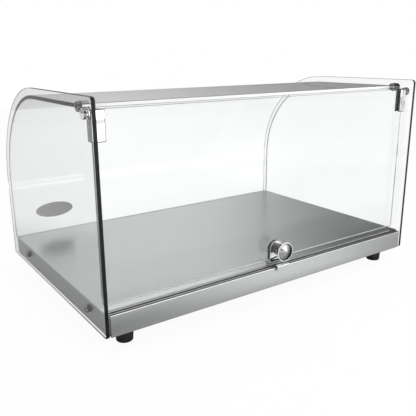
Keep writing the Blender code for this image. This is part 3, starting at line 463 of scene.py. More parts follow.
def brushed(name, dark, light, rough, scale, depth, painted_light_strip=None):
    """Brushed sheet; scale is how often the grain changes along x, y and z, per metre.
    Past the y place painted_light_strip[0] it takes a brighter tone, fully at
    painted_light_strip[1]: painted reflection, and a little less roughness."""
    material = bpy.data.materials.new(name)
    tree = empty_tree(material)
    lines = use_group(tree, "brushed grain", Scale=scale, Low=rough[0], High=rough[1])
    colour = tone(tree, lines["Scratches"], dark, light)
    roughness = lines["Roughness"]
    if painted_light_strip:
        painted_light = ramp(tree, axes_of(tree, object_place(tree))[1], painted_light_strip)
        colour = tone(tree, painted_light, colour, PAINTED_LIGHT_TONE)
        roughness = maths(tree, "SUBTRACT", roughness,
                          maths(tree, "MULTIPLY", painted_light, STRIP_GLOSS))
    shade(tree, Base_Color=colour, Metallic=1.0, Roughness=roughness,
          Normal=relief_of(tree, lines["Scratches"], depth))
    return material


BRUSH_ALONG_X = (9.0, 1900.0, 1900.0)
MILL_GRAIN = (60.0, 600.0, 600.0)
# Where the deck gets its painted reflection.
PAINTED_LIGHT_STRIP = (-0.1572, -0.1590)      # by y: from just behind the door, forwards
steel = brushed("brushed stainless", dark=(0.61, 0.62, 0.62), light=(0.655, 0.665, 0.665),
                rough=(0.26, 0.32), scale=BRUSH_ALONG_X, depth=2 * MICROMETRE)
deck_steel = brushed("brushed stainless plate", dark=(0.55, 0.575, 0.57),
                     light=(0.57, 0.595, 0.59), rough=(0.235, 0.265), scale=BRUSH_ALONG_X,
                     depth=0.5 * MICROMETRE, painted_light_strip=PAINTED_LIGHT_STRIP)
pan_steel = brushed("plain pan sheet", dark=(0.42, 0.43, 0.43), light=(0.50, 0.51, 0.51),
                    rough=(0.34, 0.44), scale=MILL_GRAIN, depth=3 * MICROMETRE)
print("sheets:", [material.name for material in (steel, deck_steel, pan_steel)])

# %% [markdown]
# ## Plated and turned metal
# Plating has no grain, so these metals could be one plain colour. A real fitting
# shows where it was touched, though: faint clouds that are a little darker and
# duller. They are smaller on smaller fittings, so each metal gives their size.

# %% Polished metals


def polished(name, dark, light, rough, size):
    """Plated or plain bright metal with faint handling marks of one size."""
    material = bpy.data.materials.new(name)
    tree = empty_tree(material)
    clouds = use_group(tree, "handling marks", Size=size, Low=rough[0], High=rough[1])
    shade(tree, Base_Color=tone(tree, clouds["Mask"], light, dark), Metallic=1.0,
          Roughness=clouds["Roughness"])
    return material


chrome = polished("polished chrome", dark=(0.80, 0.80, 0.81), light=(0.90, 0.90, 0.91),
                  rough=(0.04, 0.10), size=0.02)
nickel = polished("dark nickel plate", dark=(0.30, 0.30, 0.305), light=(0.36, 0.36, 0.365),
                  rough=(0.05, 0.10), size=0.01)
# This dark metal is painted shade, on the clamps' sides and in the knob's groove.
painted_shade_side = polished("painted shade on metal sides", dark=(0.085, 0.09, 0.09), light=(0.12, 0.125, 0.125),
                     rough=(0.24, 0.34), size=0.006)
turned_rim = polished("satin turned rim", dark=(0.90, 0.90, 0.905), light=(0.96, 0.96, 0.965),
                      rough=(0.34, 0.42), size=0.004)
satin_plate = polished("satin clip plate", dark=(0.58, 0.60, 0.59), light=(0.68, 0.70, 0.69),
                       rough=(0.10, 0.16), size=0.003)
fastener = polished("bright screw steel", dark=(0.26, 0.26, 0.26), light=(0.40, 0.40, 0.40),
                    rough=(0.20, 0.34), size=0.004)
print("plated:", [material.name for material in (chrome, nickel, painted_shade_side, turned_rim,
                                                 satin_plate, fastener)])

# %% [markdown]
# ## Glass
# A real pane is clear on its faces, smooth but darker on its edges, and dull on the
# narrow ground chamfers, which is why a pane in a picture is drawn by its outline.
# One material for the whole pane would lose that outline, so the faces, the edges and
# the chamfers get one each. Solid glass also blocks a lamp's shadow rays in a path
# tracer, so those rays pass it as if the pane were a faint, thin film.

# %% Glass
GLASS_INDEX = 1.5
MARKED_SHARE = 0.997        # how much of its colour the glass keeps under a handling mark


def glass(name, tint, shadow_tint, size, rough=None):
    """Glass that lets the lamps' shadow rays through. Without rough it is polished."""
    material = bpy.data.materials.new(name)
    tree = empty_tree(material)
    low, high = rough or (0, 0)
    clouds = use_group(tree, "handling marks", Size=size, Low=low, High=high)
    marked = [MARKED_SHARE * channel for channel in tint]
    shader = add(tree, "ShaderNodeBsdfPrincipled",
                 {"Base Color": tone(tree, clouds["Mask"], tint, marked),
                  "Roughness": clouds["Roughness"] if rough else 0.0,
                  "IOR": GLASS_INDEX, "Transmission Weight": 1.0})
    clear = add(tree, "ShaderNodeBsdfTransparent", {"Color": (*shadow_tint, 1)})
    is_shadow = add(tree, "ShaderNodeLightPath").outputs["Is Shadow Ray"]
    mixed = add(tree, "ShaderNodeMixShader",
                {0: is_shadow, 1: shader.outputs[0], 2: clear.outputs[0]})
    add(tree, "ShaderNodeOutputMaterial", {"Surface": mixed.outputs[0]})
    return material


clear_glass = glass("clear glass face", tint=(0.990, 0.999, 0.996),
                    shadow_tint=(0.97, 0.97, 0.97), size=0.05)
light_edge = glass("glass edge in light", tint=(0.50, 0.53, 0.52), shadow_tint=(0.8, 0.8, 0.8),
                   rough=(0.07, 0.09), size=0.04)
ground_edge = glass("ground glass chamfer", tint=(0.34, 0.35, 0.35),
                    shadow_tint=(0.7, 0.7, 0.7), rough=(0.35, 0.5), size=0.003)
# Painted shade: the near-black tint of chamfers on edges that lie in shade.
painted_shade_chamfer = glass("ground chamfer in shade", tint=(0.05, 0.052, 0.052),
                     shadow_tint=(0.7, 0.7, 0.7), rough=(0.3, 0.45), size=0.003)
print("glass:", [material.name for material in (clear_glass, light_edge, ground_edge,
                                                painted_shade_chamfer)])

# %% [markdown]
# ## Rubber, nylon and silicone
# The soft parts are small and dull. Moulded rubber has a fine grain, nylon is a
# smooth grey plastic, and silicone and the gaskets are milky. All of them are one
# graph again: handling marks give the colour, the roughness and a very low relief.

# %% Soft plastics


def moulded(name, dark, light, rough, size, depth, **extra):
    """A moulded plastic or rubber with a fine, even texture."""
    material = bpy.data.materials.new(name)
    tree = empty_tree(material)
    clouds = use_group(tree, "handling marks", Size=size, Low=rough[0], High=rough[1])
    shade(tree, Base_Color=tone(tree, clouds["Mask"], dark, light),
          Roughness=clouds["Roughness"], Normal=relief_of(tree, clouds["Mask"], depth), **extra)
    return material


rubber = moulded("black rubber", dark=(0.010, 0.010, 0.010), light=(0.022, 0.022, 0.022),
                 rough=(0.45, 0.6), size=0.0008, depth=20 * MICROMETRE)
nylon = moulded("grey nylon", dark=(0.16, 0.16, 0.16), light=(0.20, 0.20, 0.20),
                rough=(0.35, 0.45), size=0.0015, depth=10 * MICROMETRE)
silicone = moulded("clear silicone", dark=(0.55, 0.56, 0.56), light=(0.62, 0.63, 0.63),
                   rough=(0.3, 0.4), size=0.003, depth=10 * MICROMETRE)
gasket = moulded("milky gasket", dark=(0.50, 0.51, 0.51), light=(0.60, 0.61, 0.61),
                 rough=(0.4, 0.5), size=0.003, depth=4 * MICROMETRE)
print("plastics:", [material.name for material in (rubber, nylon, silicone, gasket)])

# %% [markdown]
# ## Edges that look solid
# Where light can't come in behind it, an edge of glass looks black, and a ground edge
# that faces the light looks like white frost. Both could be left to the glass shader,
# which needs a great many rays for it. A dull, opaque skin gives the same look at
# once, so these two are made like the plastics: the black one is painted shade, and
# the pale one is frost with a painted glow, for the light that the glass carries to its edge.

# %% Dark and frosted edges
# Painted shade: a near-black opaque skin, on glass edges in shade and on the buffer's lip.
painted_shade_edge = moulded("painted shade, black", dark=(0.006, 0.007, 0.0065),
                    light=(0.014, 0.016, 0.015), rough=(0.35, 0.5), size=0.004,
                    depth=MICROMETRE, Specular_IOR_Level=0.18)
# Frost and painted light at once: the near white stands for the light that the glass carries to
# this edge.
pale_edge = moulded("frosted edge with painted glow", dark=(0.86, 0.87, 0.865), light=(0.92, 0.93, 0.925),
                    rough=(0.3, 0.4), size=0.002, depth=2 * MICROMETRE)
GLASS_SET = [clear_glass, light_edge, painted_shade_edge, ground_edge, painted_shade_chamfer, pale_edge]
FACE, LIGHT_EDGE, DARK_EDGE, CHAMFER, DARK_CHAMFER, PALE_EDGE = range(len(GLASS_SET))
print("a pane's finishes:", len(GLASS_SET))

# %% [markdown]
# ## From a bmesh to a piece
# Each new piece is closed into an object here: doubles merged, normals outwards,
# faces smooth up to a sharp edge. It then rides on the body that carries it and gets
# its materials, and the imported nodes it stands for are hidden. Doing this in one
# place means that no piece can miss a step.

# %% Piece helper
SMOOTH_UP_TO = math.radians(32)
MERGE = 0.000002


def close_piece(bm, name, materials, body, replaced=()):
    """Turns a finished bmesh into a piece of the case."""
    bmesh.ops.remove_doubles(bm, verts=bm.verts, dist=MERGE)
    bmesh.ops.recalc_face_normals(bm, faces=bm.faces)
    for face in bm.faces:
        face.smooth = True
    for edge in bm.edges:
        edge.smooth = edge.is_manifold and edge.calc_face_angle() < SMOOTH_UP_TO
    open_edges = [edge for edge in bm.edges if not edge.is_manifold]
    mesh = bpy.data.meshes.new(name)
    bm.to_mesh(mesh)
    bm.free()
    for material in materials:
        mesh.materials.append(material)
    piece = bpy.data.objects.new(name, mesh)
    bpy.context.scene.collection.objects.link(piece)
    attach(piece, body)
    if replaced:
        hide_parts(*replaced)
    print(f"{name}: {len(mesh.polygons)} faces, {len(open_edges)} open edges")


# %% [markdown]
# ## Drawn sections
# Much of the case is one outline that was drawn out straight: a pane by its
# thickness, a folded strip, or a black strip of painted shade along the case. So the
# outline is a face whose corners are rounded by a vertex bevel, each with its own
# radius, and an extrusion gives it its length. Arcs could be typed in as points, but a
# radius is easier to change.

# %% Section helpers
LARGE_RADIUS = 0.05
LARGE_STEPS, SMALL_STEPS = 64, 8
FACING = 0.5                # a face faces the way that this much of its unit normal points
TO_YZ = Matrix(((0, 0, 1, 0), (1, 0, 0, 0), (0, 1, 0, 0), (0, 0, 0, 1)))
TO_XZ = Matrix(((1, 0, 0, 0), (0, 0, 1, 0), (0, 1, 0, 0), (0, 0, 0, 1)))


def newest(step, kind):
    """What an operator has just made, of one kind."""
    return [made for made in step if isinstance(made, kind)]


def extruded(bm, geometry, move):
    """Extrudes geometry, moves the new end and returns its faces."""
    step = bmesh.ops.extrude_face_region(bm, geom=geometry)["geom"]
    bmesh.ops.translate(bm, verts=newest(step, bmesh.types.BMVert), vec=move)
    return newest(step, bmesh.types.BMFace)


def rounded_face(bm, corners):
    """One face in the xy plane from (u, v, radius) corners."""
    outline = [bm.verts.new((u, v, 0)) for u, v, _ in corners]
    bm.faces.new(outline)
    for vert, (_, _, radius) in zip(outline, corners):
        steps = LARGE_STEPS if radius > LARGE_RADIUS else SMALL_STEPS
        if radius:
            bmesh.ops.bevel(bm, geom=[vert], offset=radius, offset_type="OFFSET",
                            segments=steps, profile=0.5, affect="VERTICES", material=-1)


def drawn_strip(section, left, right):
    """A bmesh of one (y, z, radius) section, drawn from the place left to the place right."""
    bm = bmesh.new()
    rounded_face(bm, section)
    extruded(bm, list(bm.faces), (0, 0, right - left))
    bmesh.ops.transform(bm, matrix=Matrix.Translation((left, 0, 0)) @ TO_YZ, verts=bm.verts)
    return bm


# %% [markdown]
# ## Flat panes
# A pane is cut, its corners are rounded, its holes are drilled and its edges are
# ground. The mesh takes the same road: the outline, circles for the holes, a fill
# between them, an extrusion by the thickness, and a small bevel along every edge for
# the grinding. Cutting the holes out with a solid drill would leave a poorer mesh.

# %% Pane helper
ARRIS = 0.0005              # the width of the ground chamfers
HOLE_STEPS = 40


def is_broad(face):
    """Whether a face of a pane that still lies flat is one of its two large ones."""
    return abs(face.normal.z) > FACING


def grind(bm, edges):
    """Grinds edges to narrow chamfers and returns those."""
    ground = bmesh.ops.bevel(bm, geom=edges, offset=ARRIS, offset_type="OFFSET", segments=1,
                             profile=0.5, affect="EDGES", material=-1)
    return ground["faces"]


def cut_pane(corners, holes, thickness, dark_when):
    """A ground pane in the xy plane. corners and holes are (u, v, radius), and
    dark_when(normal) says which edges lie in shade."""
    bm = bmesh.new()
    rounded_face(bm, corners)
    bmesh.ops.delete(bm, geom=list(bm.faces), context="FACES_ONLY")
    for u, v, radius in holes:
        bmesh.ops.create_circle(bm, cap_ends=False, segments=HOLE_STEPS, radius=radius,
                                matrix=Matrix.Translation((u, v, 0)))
    bmesh.ops.triangle_fill(bm, edges=list(bm.edges), use_beauty=True, use_dissolve=False)
    extruded(bm, list(bm.faces), (0, 0, thickness))
    bmesh.ops.recalc_face_normals(bm, faces=bm.faces)
    for face in bm.faces:
        if not is_broad(face):
            face.material_index = DARK_EDGE if dark_when(face.normal) else LIGHT_EDGE
    rims = [edge for edge in bm.edges
            if {is_broad(face) for face in edge.link_faces} == {True, False}]
    for face in grind(bm, rims):
        sideways = Vector((face.normal.x, face.normal.y, 0)).normalized()
        face.material_index = DARK_CHAMFER if dark_when(sideways) else CHAMFER
    return bm


# %% [markdown]
# ## Side glasses
# The two side glasses are one shape: a near corner that is barely rounded and a far
# one with a radius of 165 mm. Four holes take the screws, the pivot cap and the bolt
# of the top clip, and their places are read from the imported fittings, so that a pane
# could never be drilled beside them.

# %% Side glasses
pivot = Vector(frame["joints"][0]["pos_m"])
clip_centre = middle_of("clip_bolt_left")
screws = [middle_of("side_screw_left_" + end) for end in ("front", "rear")]
SCREW_HOLE, CAP_HOLE, BOLT_HOLE = 0.0030, 0.0044, 0.0030
FOOT_CORNER, NEAR_CORNER, FAR_CORNER = 0.003, 0.006, 0.165
side_holes = [(screw.y, screw.z, SCREW_HOLE) for screw in screws]
side_holes += [(pivot.y, pivot.z, CAP_HOLE), (clip_centre.y, clip_centre.z, BOLT_HOLE)]


SHADE_NEAR, SHADE_LEVEL = -0.7, 0.97   # parts of a unit normal in the pane's own plane


def side_edge_in_shade(normal):
    """The upright near edge, the level top and the foot look black, and the bend is light."""
    return normal.x < SHADE_NEAR or abs(normal.y) > SHADE_LEVEL


for name in ("left_side_glass", "right_side_glass"):
    low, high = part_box(name)
    corners = [(low.y, low.z, FOOT_CORNER), (high.y, low.z, FOOT_CORNER),
               (high.y, high.z, FAR_CORNER), (low.y, high.z, NEAR_CORNER)]
    bm = cut_pane(corners, side_holes, high.x - low.x, side_edge_in_shade)
    bmesh.ops.transform(bm, matrix=Matrix.Translation((low.x, 0, 0)) @ TO_YZ, verts=bm.verts)
    close_piece(bm, name + "_ground", GLASS_SET, "cabinet", [name])

# %% [markdown]
# ## Bent sheet
# The far wall and the roof are one sheet that was bent hot round a drum. A flat slab
# bent by a modifier would do, but the straight road is the maker's own: start with the
# sheet's lower edge, extrude it up to the bend, spin it a quarter turn, and extrude it
# on to the edge over the door.

# %% Bent sheet
bent_low, bent_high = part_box("curved_glass")
left_low, left_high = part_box("left_side_glass")
GLASS_THICKNESS = left_high.x - left_low.x
BEND_RADIUS = 0.155         # outside
BEND_CENTRE = Vector((0, bent_high.y - BEND_RADIUS, bent_high.z - BEND_RADIUS))
BEND_STEPS = 72


def whole(face):
    """A face with its edges and corners, so that an extrusion takes it along."""
    return [face, *face.edges, *face.verts]


bm = bmesh.new()
wall_in = bent_high.y - GLASS_THICKNESS
foot_line = [bm.verts.new(corner) for corner in
             [(bent_low.x, wall_in, bent_low.z), (bent_high.x, wall_in, bent_low.z),
              (bent_high.x, bent_high.y, bent_low.z), (bent_low.x, bent_high.y, bent_low.z)]]
foot_edge = bm.faces.new(foot_line)
wall_top = extruded(bm, [foot_edge], (0, 0, BEND_CENTRE.z - bent_low.z))[0]
bend = bmesh.ops.spin(bm, geom=whole(wall_top), cent=BEND_CENTRE, axis=(1, 0, 0), dvec=(0, 0, 0),
                      angle=math.pi / 2, steps=BEND_STEPS, use_merge=False, use_duplicate=False)
bend_end = newest(bend["geom_last"], bmesh.types.BMFace)[0]
extruded(bm, whole(bend_end), (0, bent_low.y - BEND_CENTRE.y, 0))
bmesh.ops.remove_doubles(bm, verts=bm.verts, dist=MERGE)
bmesh.ops.recalc_face_normals(bm, faces=bm.faces)
print("bent sheet:", len(bm.faces), "faces before its edges are ground")

# %% [markdown]
# ## The bent sheet's edges
# The ends against the side glasses lie in shade and get painted shade, and the foot
# and the edge over the door are frosted with a painted glow. The chamfer on top of the
# near edge is a dark line in the picture, and painted shade.
# Faces could be picked by their numbers, but those change with every step of the
# bend, so they are told apart by where they face and where they are.

# %% Bent sheet's edges
SHARP_FOLD = 1              # radians between two faces that meet in an edge of the sheet
AT_EDGE = 0.001             # how close to the sheet's edge a face's middle has to be
STRAIGHT, UPWARDS = 0.9, 0.3           # parts of a unit normal

for face in bm.faces:
    middle = face.calc_center_median()
    at_foot = face.normal.z < -STRAIGHT and middle.z < bent_low.z + AT_EDGE
    at_door = face.normal.y < -STRAIGHT and middle.y < bent_low.y + AT_EDGE
    at_side = abs(face.normal.x) > FACING
    face.material_index = DARK_EDGE if at_side else PALE_EDGE if at_foot or at_door else FACE
for face in grind(bm, [edge for edge in bm.edges if edge.calc_face_angle() > SHARP_FOLD]):
    over_door = face.calc_center_median().y < bent_low.y + AT_EDGE
    face.material_index = DARK_CHAMFER if over_door and face.normal.z > UPWARDS else CHAMFER
close_piece(bm, "curved_glass_ground", GLASS_SET, "cabinet", ["curved_glass"])

# %% [markdown]
# ## Door glass
# The door is a plain pane that hangs between the clamps, with one hole for the screw
# of the knob. A scaled cube would be quicker, but the pane helper also gives it ground
# edges. Its lower edge is frosted, and its near white is partly painted light, for the light it
# catches.

# %% Door glass
DOOR_CORNER = 0.002
KNOB_HOLE = 0.0023
door_low, door_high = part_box("door_glass")
knob_height = middle_of("door_knob").z

bm = cut_pane([(door_low.x, door_low.z, DOOR_CORNER), (door_high.x, door_low.z, DOOR_CORNER),
               (door_high.x, door_high.z, DOOR_CORNER), (door_low.x, door_high.z, DOOR_CORNER)],
              [(0, knob_height, KNOB_HOLE)], door_high.y - door_low.y, lambda normal: False)
bmesh.ops.transform(bm, matrix=Matrix.Translation((0, door_low.y, 0)) @ TO_XZ, verts=bm.verts)
for face in bm.faces:
    if face.calc_center_median().z < door_low.z + 2 * ARRIS and abs(face.normal.z) > FACING:
        face.material_index = PALE_EDGE
close_piece(bm, "door_glass_ground", GLASS_SET, "door", ["door_glass"])

# %% [markdown]
# ## Turned parts
# Knob, caps, bolt heads and feet come off a lathe. Cylinders and cones could be
# joined for each, but one profile of (along, radius) points, spun round its axis, is
# the lathe's own work, and leaves one closed skin.

# %% Lathe
ROUND_STEPS = 64


def turned(profile, base, outwards, steps=ROUND_STEPS):
    """A bmesh of a profile spun round the axis that starts at base and runs outwards."""
    bm = bmesh.new()
    points = [bm.verts.new((radius, 0, along)) for along, radius in profile]
    lines = [bm.edges.new(pair) for pair in zip(points, points[1:])]
    bmesh.ops.spin(bm, geom=points + lines, cent=(0, 0, 0), axis=(0, 0, 1), dvec=(0, 0, 0),
                   angle=2 * math.pi, steps=steps, use_merge=True, use_duplicate=False)
    turn = Vector(outwards).to_track_quat("Z", "Y").to_matrix().to_4x4()
    bmesh.ops.transform(bm, matrix=Matrix.Translation(base) @ turn, verts=bm.verts)
    return bm


def arc_points(centre, radius, start, end, steps):
    """(along, radius) points of an arc in a turned profile, angles in degrees."""
    angles = [math.radians(start + (end - start) * i / steps) for i in range(steps + 1)]
    return [(centre[0] + radius * math.sin(a), centre[1] + radius * math.cos(a))
            for a in angles]


# %% [markdown]
# ## Knob
# The knob was turned from one bar: a knurled stem against the clip, a slim neck, a
# flared back, a raised rim, a groove inside it, and a coned crown with a rounded tip.
# The cone is what makes the highlight a wedge: a ball-shaped face would show the lamp
# as a spot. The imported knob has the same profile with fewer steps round.

# %% Knob profile
knob_low, knob_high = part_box("door_knob")
KNOB_LENGTH = knob_high.y - knob_low.y
KNOB_RADIUS = (knob_high.z - knob_low.z) / 2
EASE, FINE_EASE = 0.0006, 0.0001       # how far edges are rounded or broken
STEM_RADIUS, STEM_END = 0.0080, 0.0078
NECK_RADIUS, NECK_START, NECK_END, NECK_FILLET = 0.0052, 0.0092, 0.0118, 0.0004
FLARE_START, FLARE_CURVE, FLARE_STEPS = 0.0123, 1.9, 16
RIM_BACK, RIM_FRONT, RIM_INNER, RIM_EDGE = 0.0179, 0.0192, 0.0128, 0.0009
CROWN_BASE, CROWN_RADIUS, CROWN_STEPS = 0.0180, 0.0109, 32
TIP_ROUND = 0.0020          # the cone's tip is as round as a ball of this radius


def crown_height(radius):
    """How far out the face stands at a radius: a cone with a rounded tip."""
    def fall(r):
        return math.hypot(r, TIP_ROUND) - TIP_ROUND
    return KNOB_LENGTH - (KNOB_LENGTH - CROWN_BASE) * fall(radius) / fall(CROWN_RADIUS)


def flare_point(share):
    """The flared back's point at a share of its length."""
    spread = KNOB_RADIUS - EASE - NECK_RADIUS
    return (FLARE_START + (RIM_BACK - FLARE_START) * share,
            NECK_RADIUS + spread * share ** FLARE_CURVE)


stem = [(0, 0), (0, STEM_RADIUS - EASE), (EASE, STEM_RADIUS), (STEM_END - EASE, STEM_RADIUS),
        (STEM_END, STEM_RADIUS - EASE)]
neck = [(STEM_END + NECK_FILLET, NECK_RADIUS + NECK_FILLET), (NECK_START, NECK_RADIUS),
        (NECK_END, NECK_RADIUS)]
flare = [flare_point(i / FLARE_STEPS) for i in range(1, FLARE_STEPS + 1)]
rim = arc_points((RIM_BACK + EASE, KNOB_RADIUS - EASE), EASE, start=-60, end=90, steps=10)
rim += [(RIM_FRONT, KNOB_RADIUS - RIM_EDGE), (RIM_FRONT, RIM_INNER + FINE_EASE),
        (RIM_FRONT - FINE_EASE, RIM_INNER), (CROWN_BASE, RIM_INNER - FINE_EASE)]
crown = [(crown_height(radius), radius) for radius in
         [CROWN_RADIUS * (1 - i / CROWN_STEPS) for i in range(CROWN_STEPS + 1)]]
print("knob profile:", len(stem + neck + flare + rim + crown), "points")

# %% [markdown]
# ## Knob's finishes
# The rim is satin, the groove inside it has painted shade in a dark metal, the stem is knurled and
# the rest plated.
# Each is a band on the lathe, so a face's place along the knob and its distance from
# the axis are enough to say which it is.

# %% Knob
KNOB_STEPS = 128
knurl = moulded("knurled stem", dark=(0.02, 0.02, 0.02), light=(0.34, 0.34, 0.34),
                rough=(0.2, 0.3), size=0.0009, depth=150 * MICROMETRE, Metallic=0.9)
KNOB_SET = [nickel, turned_rim, knurl, painted_shade_side]
PLATE, RIM, KNURL, GROOVE = range(len(KNOB_SET))


# The groove's finish is painted shade.
def knob_finish(along, radius):
    """Which finish a face has by its place on the lathe."""
    if along > RIM_BACK and radius > CROWN_RADIUS:
        return RIM if radius > RIM_INNER else GROOVE
    return KNURL if EASE < along < STEM_END - EASE else PLATE


bm = turned(stem + neck + flare + rim + crown, (0, knob_high.y, knob_height), (0, -1, 0),
            KNOB_STEPS)
for face in bm.faces:
    middle = face.calc_center_median()
    face.material_index = knob_finish(knob_high.y - middle.y,
                                      math.hypot(middle.x, middle.z - knob_height))
close_piece(bm, "door_knob_turned", KNOB_SET, "door", ["door_knob"])

# %% [markdown]
# ## Fascia and tab
# The fascia and its tab are sheet that was folded on a brake. Each fold could be a
# bend of its own, but seen from the end each strip is one thin outline with round
# bends, so it is drawn once and extruded along the case. The fascia's top edge is
# hemmed: folded back flat on itself, so that no raw edge is left to touch.

# %% Folded strips
SHEET = 0.001
SHEAR_EASE = 0.0002         # a cut edge's rounding
FASCIA_FOLD = 0.0012
HEM, HEM_ROUND = 0.005, 0.98 * SHEET
LIP = 0.0085


def folded_strip(name, section):
    """A strip of one section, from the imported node's left end to its right end."""
    low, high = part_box(name)
    close_piece(drawn_strip(section, low.x, high.x), name + "_folded", [steel], "cabinet",
                [name])


low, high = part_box("front_fascia")
folded_strip("front_fascia", [
    (low.y, low.z, FASCIA_FOLD), (high.y, low.z, SHEAR_EASE),
    (high.y, low.z + SHEET, SHEAR_EASE), (low.y + SHEET, low.z + SHEET, SHEAR_EASE),
    (low.y + SHEET, high.z - HEM, 0), (low.y + 2 * SHEET, high.z - HEM, SHEAR_EASE),
    (low.y + 2 * SHEET, high.z, HEM_ROUND), (low.y, high.z, HEM_ROUND)])
low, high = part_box("fascia_tab")
folded_strip("fascia_tab", [
    (low.y, high.z - LIP, SHEAR_EASE), (low.y + SHEET, high.z - LIP, SHEAR_EASE),
    (low.y + SHEET, high.z - SHEET, SHEET), (high.y - SHEET, high.z - SHEET, SHEET),
    (high.y - SHEET, low.z, SHEAR_EASE), (high.y, low.z, SHEAR_EASE),
    (high.y, high.z, 2 * SHEET), (low.y, high.z, 2 * SHEET)])

# %% [markdown]
# ## Caps and bolts
# Each side glass carries a chrome cap whose sleeve takes the door's pivot pin, and
# beside it a bolt with a round head that holds the top clip. Both are a shank with a
# head, so one profile function draws them. The cap is chrome in front, and its flank gets
# the darker nickel as painted shade; the bolt's head has a round recess for a pin wrench.

# %% Caps and bolts
CAP_HEIGHT, CAP_RADIUS, CAP_ROUND = 0.0032, 0.0064, 0.0009
CAP_SLEEVE, CAP_REACH = 0.0040, 0.0070
CAP_FRONT = 0.0004          # how far back from the cap's face the chrome goes
BOLT_HEIGHT, BOLT_RADIUS, BOLT_ROUND = 0.0026, 0.0060, 0.0008
BOLT_SHANK, BOLT_REACH = 0.0026, 0.0053
BOLT_RECESS = (0.0022, 0.0014)
RECESS_EASE = 0.0002


def head_profile(reach, shank, radius, height, edge, recess=None):
    """A shank that reaches back, and a round head with a rounded rim and, where it is
    turned by a pin wrench, a recess of (radius, depth)."""
    rim = arc_points((height - edge, radius - edge), edge, start=0, end=75, steps=6)
    middle = [(height, 0)]
    if recess:
        middle = [(height, recess[0] + RECESS_EASE), (height - RECESS_EASE, recess[0]),
                  (height - recess[1], recess[0]), (height - recess[1], 0)]
    return [(-reach, 0), (-reach, shank), (0, shank), (0, radius)] + rim + middle


cap_profile = head_profile(CAP_REACH, CAP_SLEEVE, CAP_RADIUS, CAP_HEIGHT, CAP_ROUND)
bolt_profile = head_profile(BOLT_REACH, BOLT_SHANK, BOLT_RADIUS, BOLT_HEIGHT, BOLT_ROUND,
                            BOLT_RECESS)
for side, label in ((-1, "left"), (1, "right")):
    cap_out = max(abs(corner.x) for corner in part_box("pivot_cap_" + label))
    bm = turned(cap_profile, (side * (cap_out - CAP_HEIGHT), pivot.y, pivot.z), (side, 0, 0))
    for face in bm.faces:
        # Painted shade: the flank behind the chrome front gets the darker nickel.
        face.material_index = int(side * face.calc_center_median().x < cap_out - CAP_FRONT)
    close_piece(bm, "pivot_cap_turned_" + label, [chrome, nickel], "cabinet",
                ["pivot_cap_" + label])
    bolt_out = max(abs(corner.x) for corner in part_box("clip_bolt_" + label))
    bm = turned(bolt_profile, (side * (bolt_out - BOLT_HEIGHT), clip_centre.y, clip_centre.z),
                (side, 0, 0))
    close_piece(bm, "clip_bolt_turned_" + label, [nickel], "cabinet",
                ["clip_bolt_" + label])

# %% [markdown]
# ## Feet
# The four feet are turned from rubber: a little wider at the top, rounded where they
# meet the counter, and hollowed from below for the head of the screw that holds them.
# From afar plain cylinders would do, but their sharp lower edge would show.

# %% Feet
FOOT_RADIUS, FOOT_BASE, FOOT_ROUND = 0.0125, 0.0093, 0.0018
FOOT_SHOULDER, SHOULDER_EASE = 0.0235, 0.0004
SCREW_BORE, HEAD_BORE, HEAD_DEPTH = 0.0024, 0.0052, 0.0110
foot_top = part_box("foot_front_left")[1].z
foot_profile = [(0, HEAD_BORE), (0, FOOT_BASE)]
foot_profile += arc_points((FOOT_ROUND, FOOT_BASE), FOOT_ROUND, start=-90, end=0, steps=8)
foot_profile += [(FOOT_SHOULDER, FOOT_RADIUS), (foot_top, FOOT_RADIUS - SHOULDER_EASE),
                 (foot_top, SCREW_BORE), (HEAD_DEPTH, SCREW_BORE), (HEAD_DEPTH, HEAD_BORE),
                 (0, HEAD_BORE)]
for label in ("front_left", "front_right", "rear_left", "rear_right"):
    foot = middle_of("foot_" + label)
    close_piece(turned(foot_profile, (foot.x, foot.y, 0), (0, 0, 1)), "foot_turned_" + label,
                [rubber], "cabinet", ["foot_" + label])

# %% [markdown]
# ## Blocks that keep their imported shape
# The clamps, the slotted clips, the knob's clip and the pan already have every slot
# and hole, so there is no need to model them again. Only their shading is in flat
# triangles: a copy is merged into one skin and shaded smooth up to its sharp edges.
# The clamps are chrome on their broad faces, and all round them a dark metal is painted shade.

# %% Smooth copies
FLAT_WITHIN = math.radians(0.5)
ALONG_THE_DOOR = 0.995      # part of a unit normal, for faces parallel to the door's pane


def is_clamp_side(face):
    """Whether a face of a clamp isn't one of its broad ones."""
    return abs(face.normal.y) < ALONG_THE_DOOR


def smooth_copy(name, materials, body, is_second=lambda face: False):
    """A merged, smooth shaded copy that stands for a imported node; is_second picks the
    faces that get the second material."""
    bm = bmesh.new()
    bm.from_mesh(nodes[name].data)
    bmesh.ops.remove_doubles(bm, verts=bm.verts, dist=MERGE)
    bmesh.ops.dissolve_limit(bm, angle_limit=FLAT_WITHIN, verts=bm.verts, edges=bm.edges)
    for face in bm.faces:
        face.material_index = int(is_second(face))
    close_piece(bm, name + "_smooth", materials, body, [name])


for label in ("left", "right"):
    # Painted shade: the clamps' sides get the dark metal.
    smooth_copy("hinge_clamp_" + label, [chrome, painted_shade_side], "door",
                is_clamp_side)
    smooth_copy("top_clip_" + label, [nickel], "cabinet")
smooth_copy("knob_clip", [satin_plate], "door")
smooth_copy("base_pan", [pan_steel], "cabinet")

# %% [markdown]
# ## Strips of painted shade
# Two thin black strips run along the front of the base as painted shade, where the
# gaps lie in shadow: one along the deck plate's edge, and one in the gap between pan
# and fascia. A dark line painted by the steel's material would look flat from the side,
# so each is a small section that is rounded and extruded, as the folded strips are.

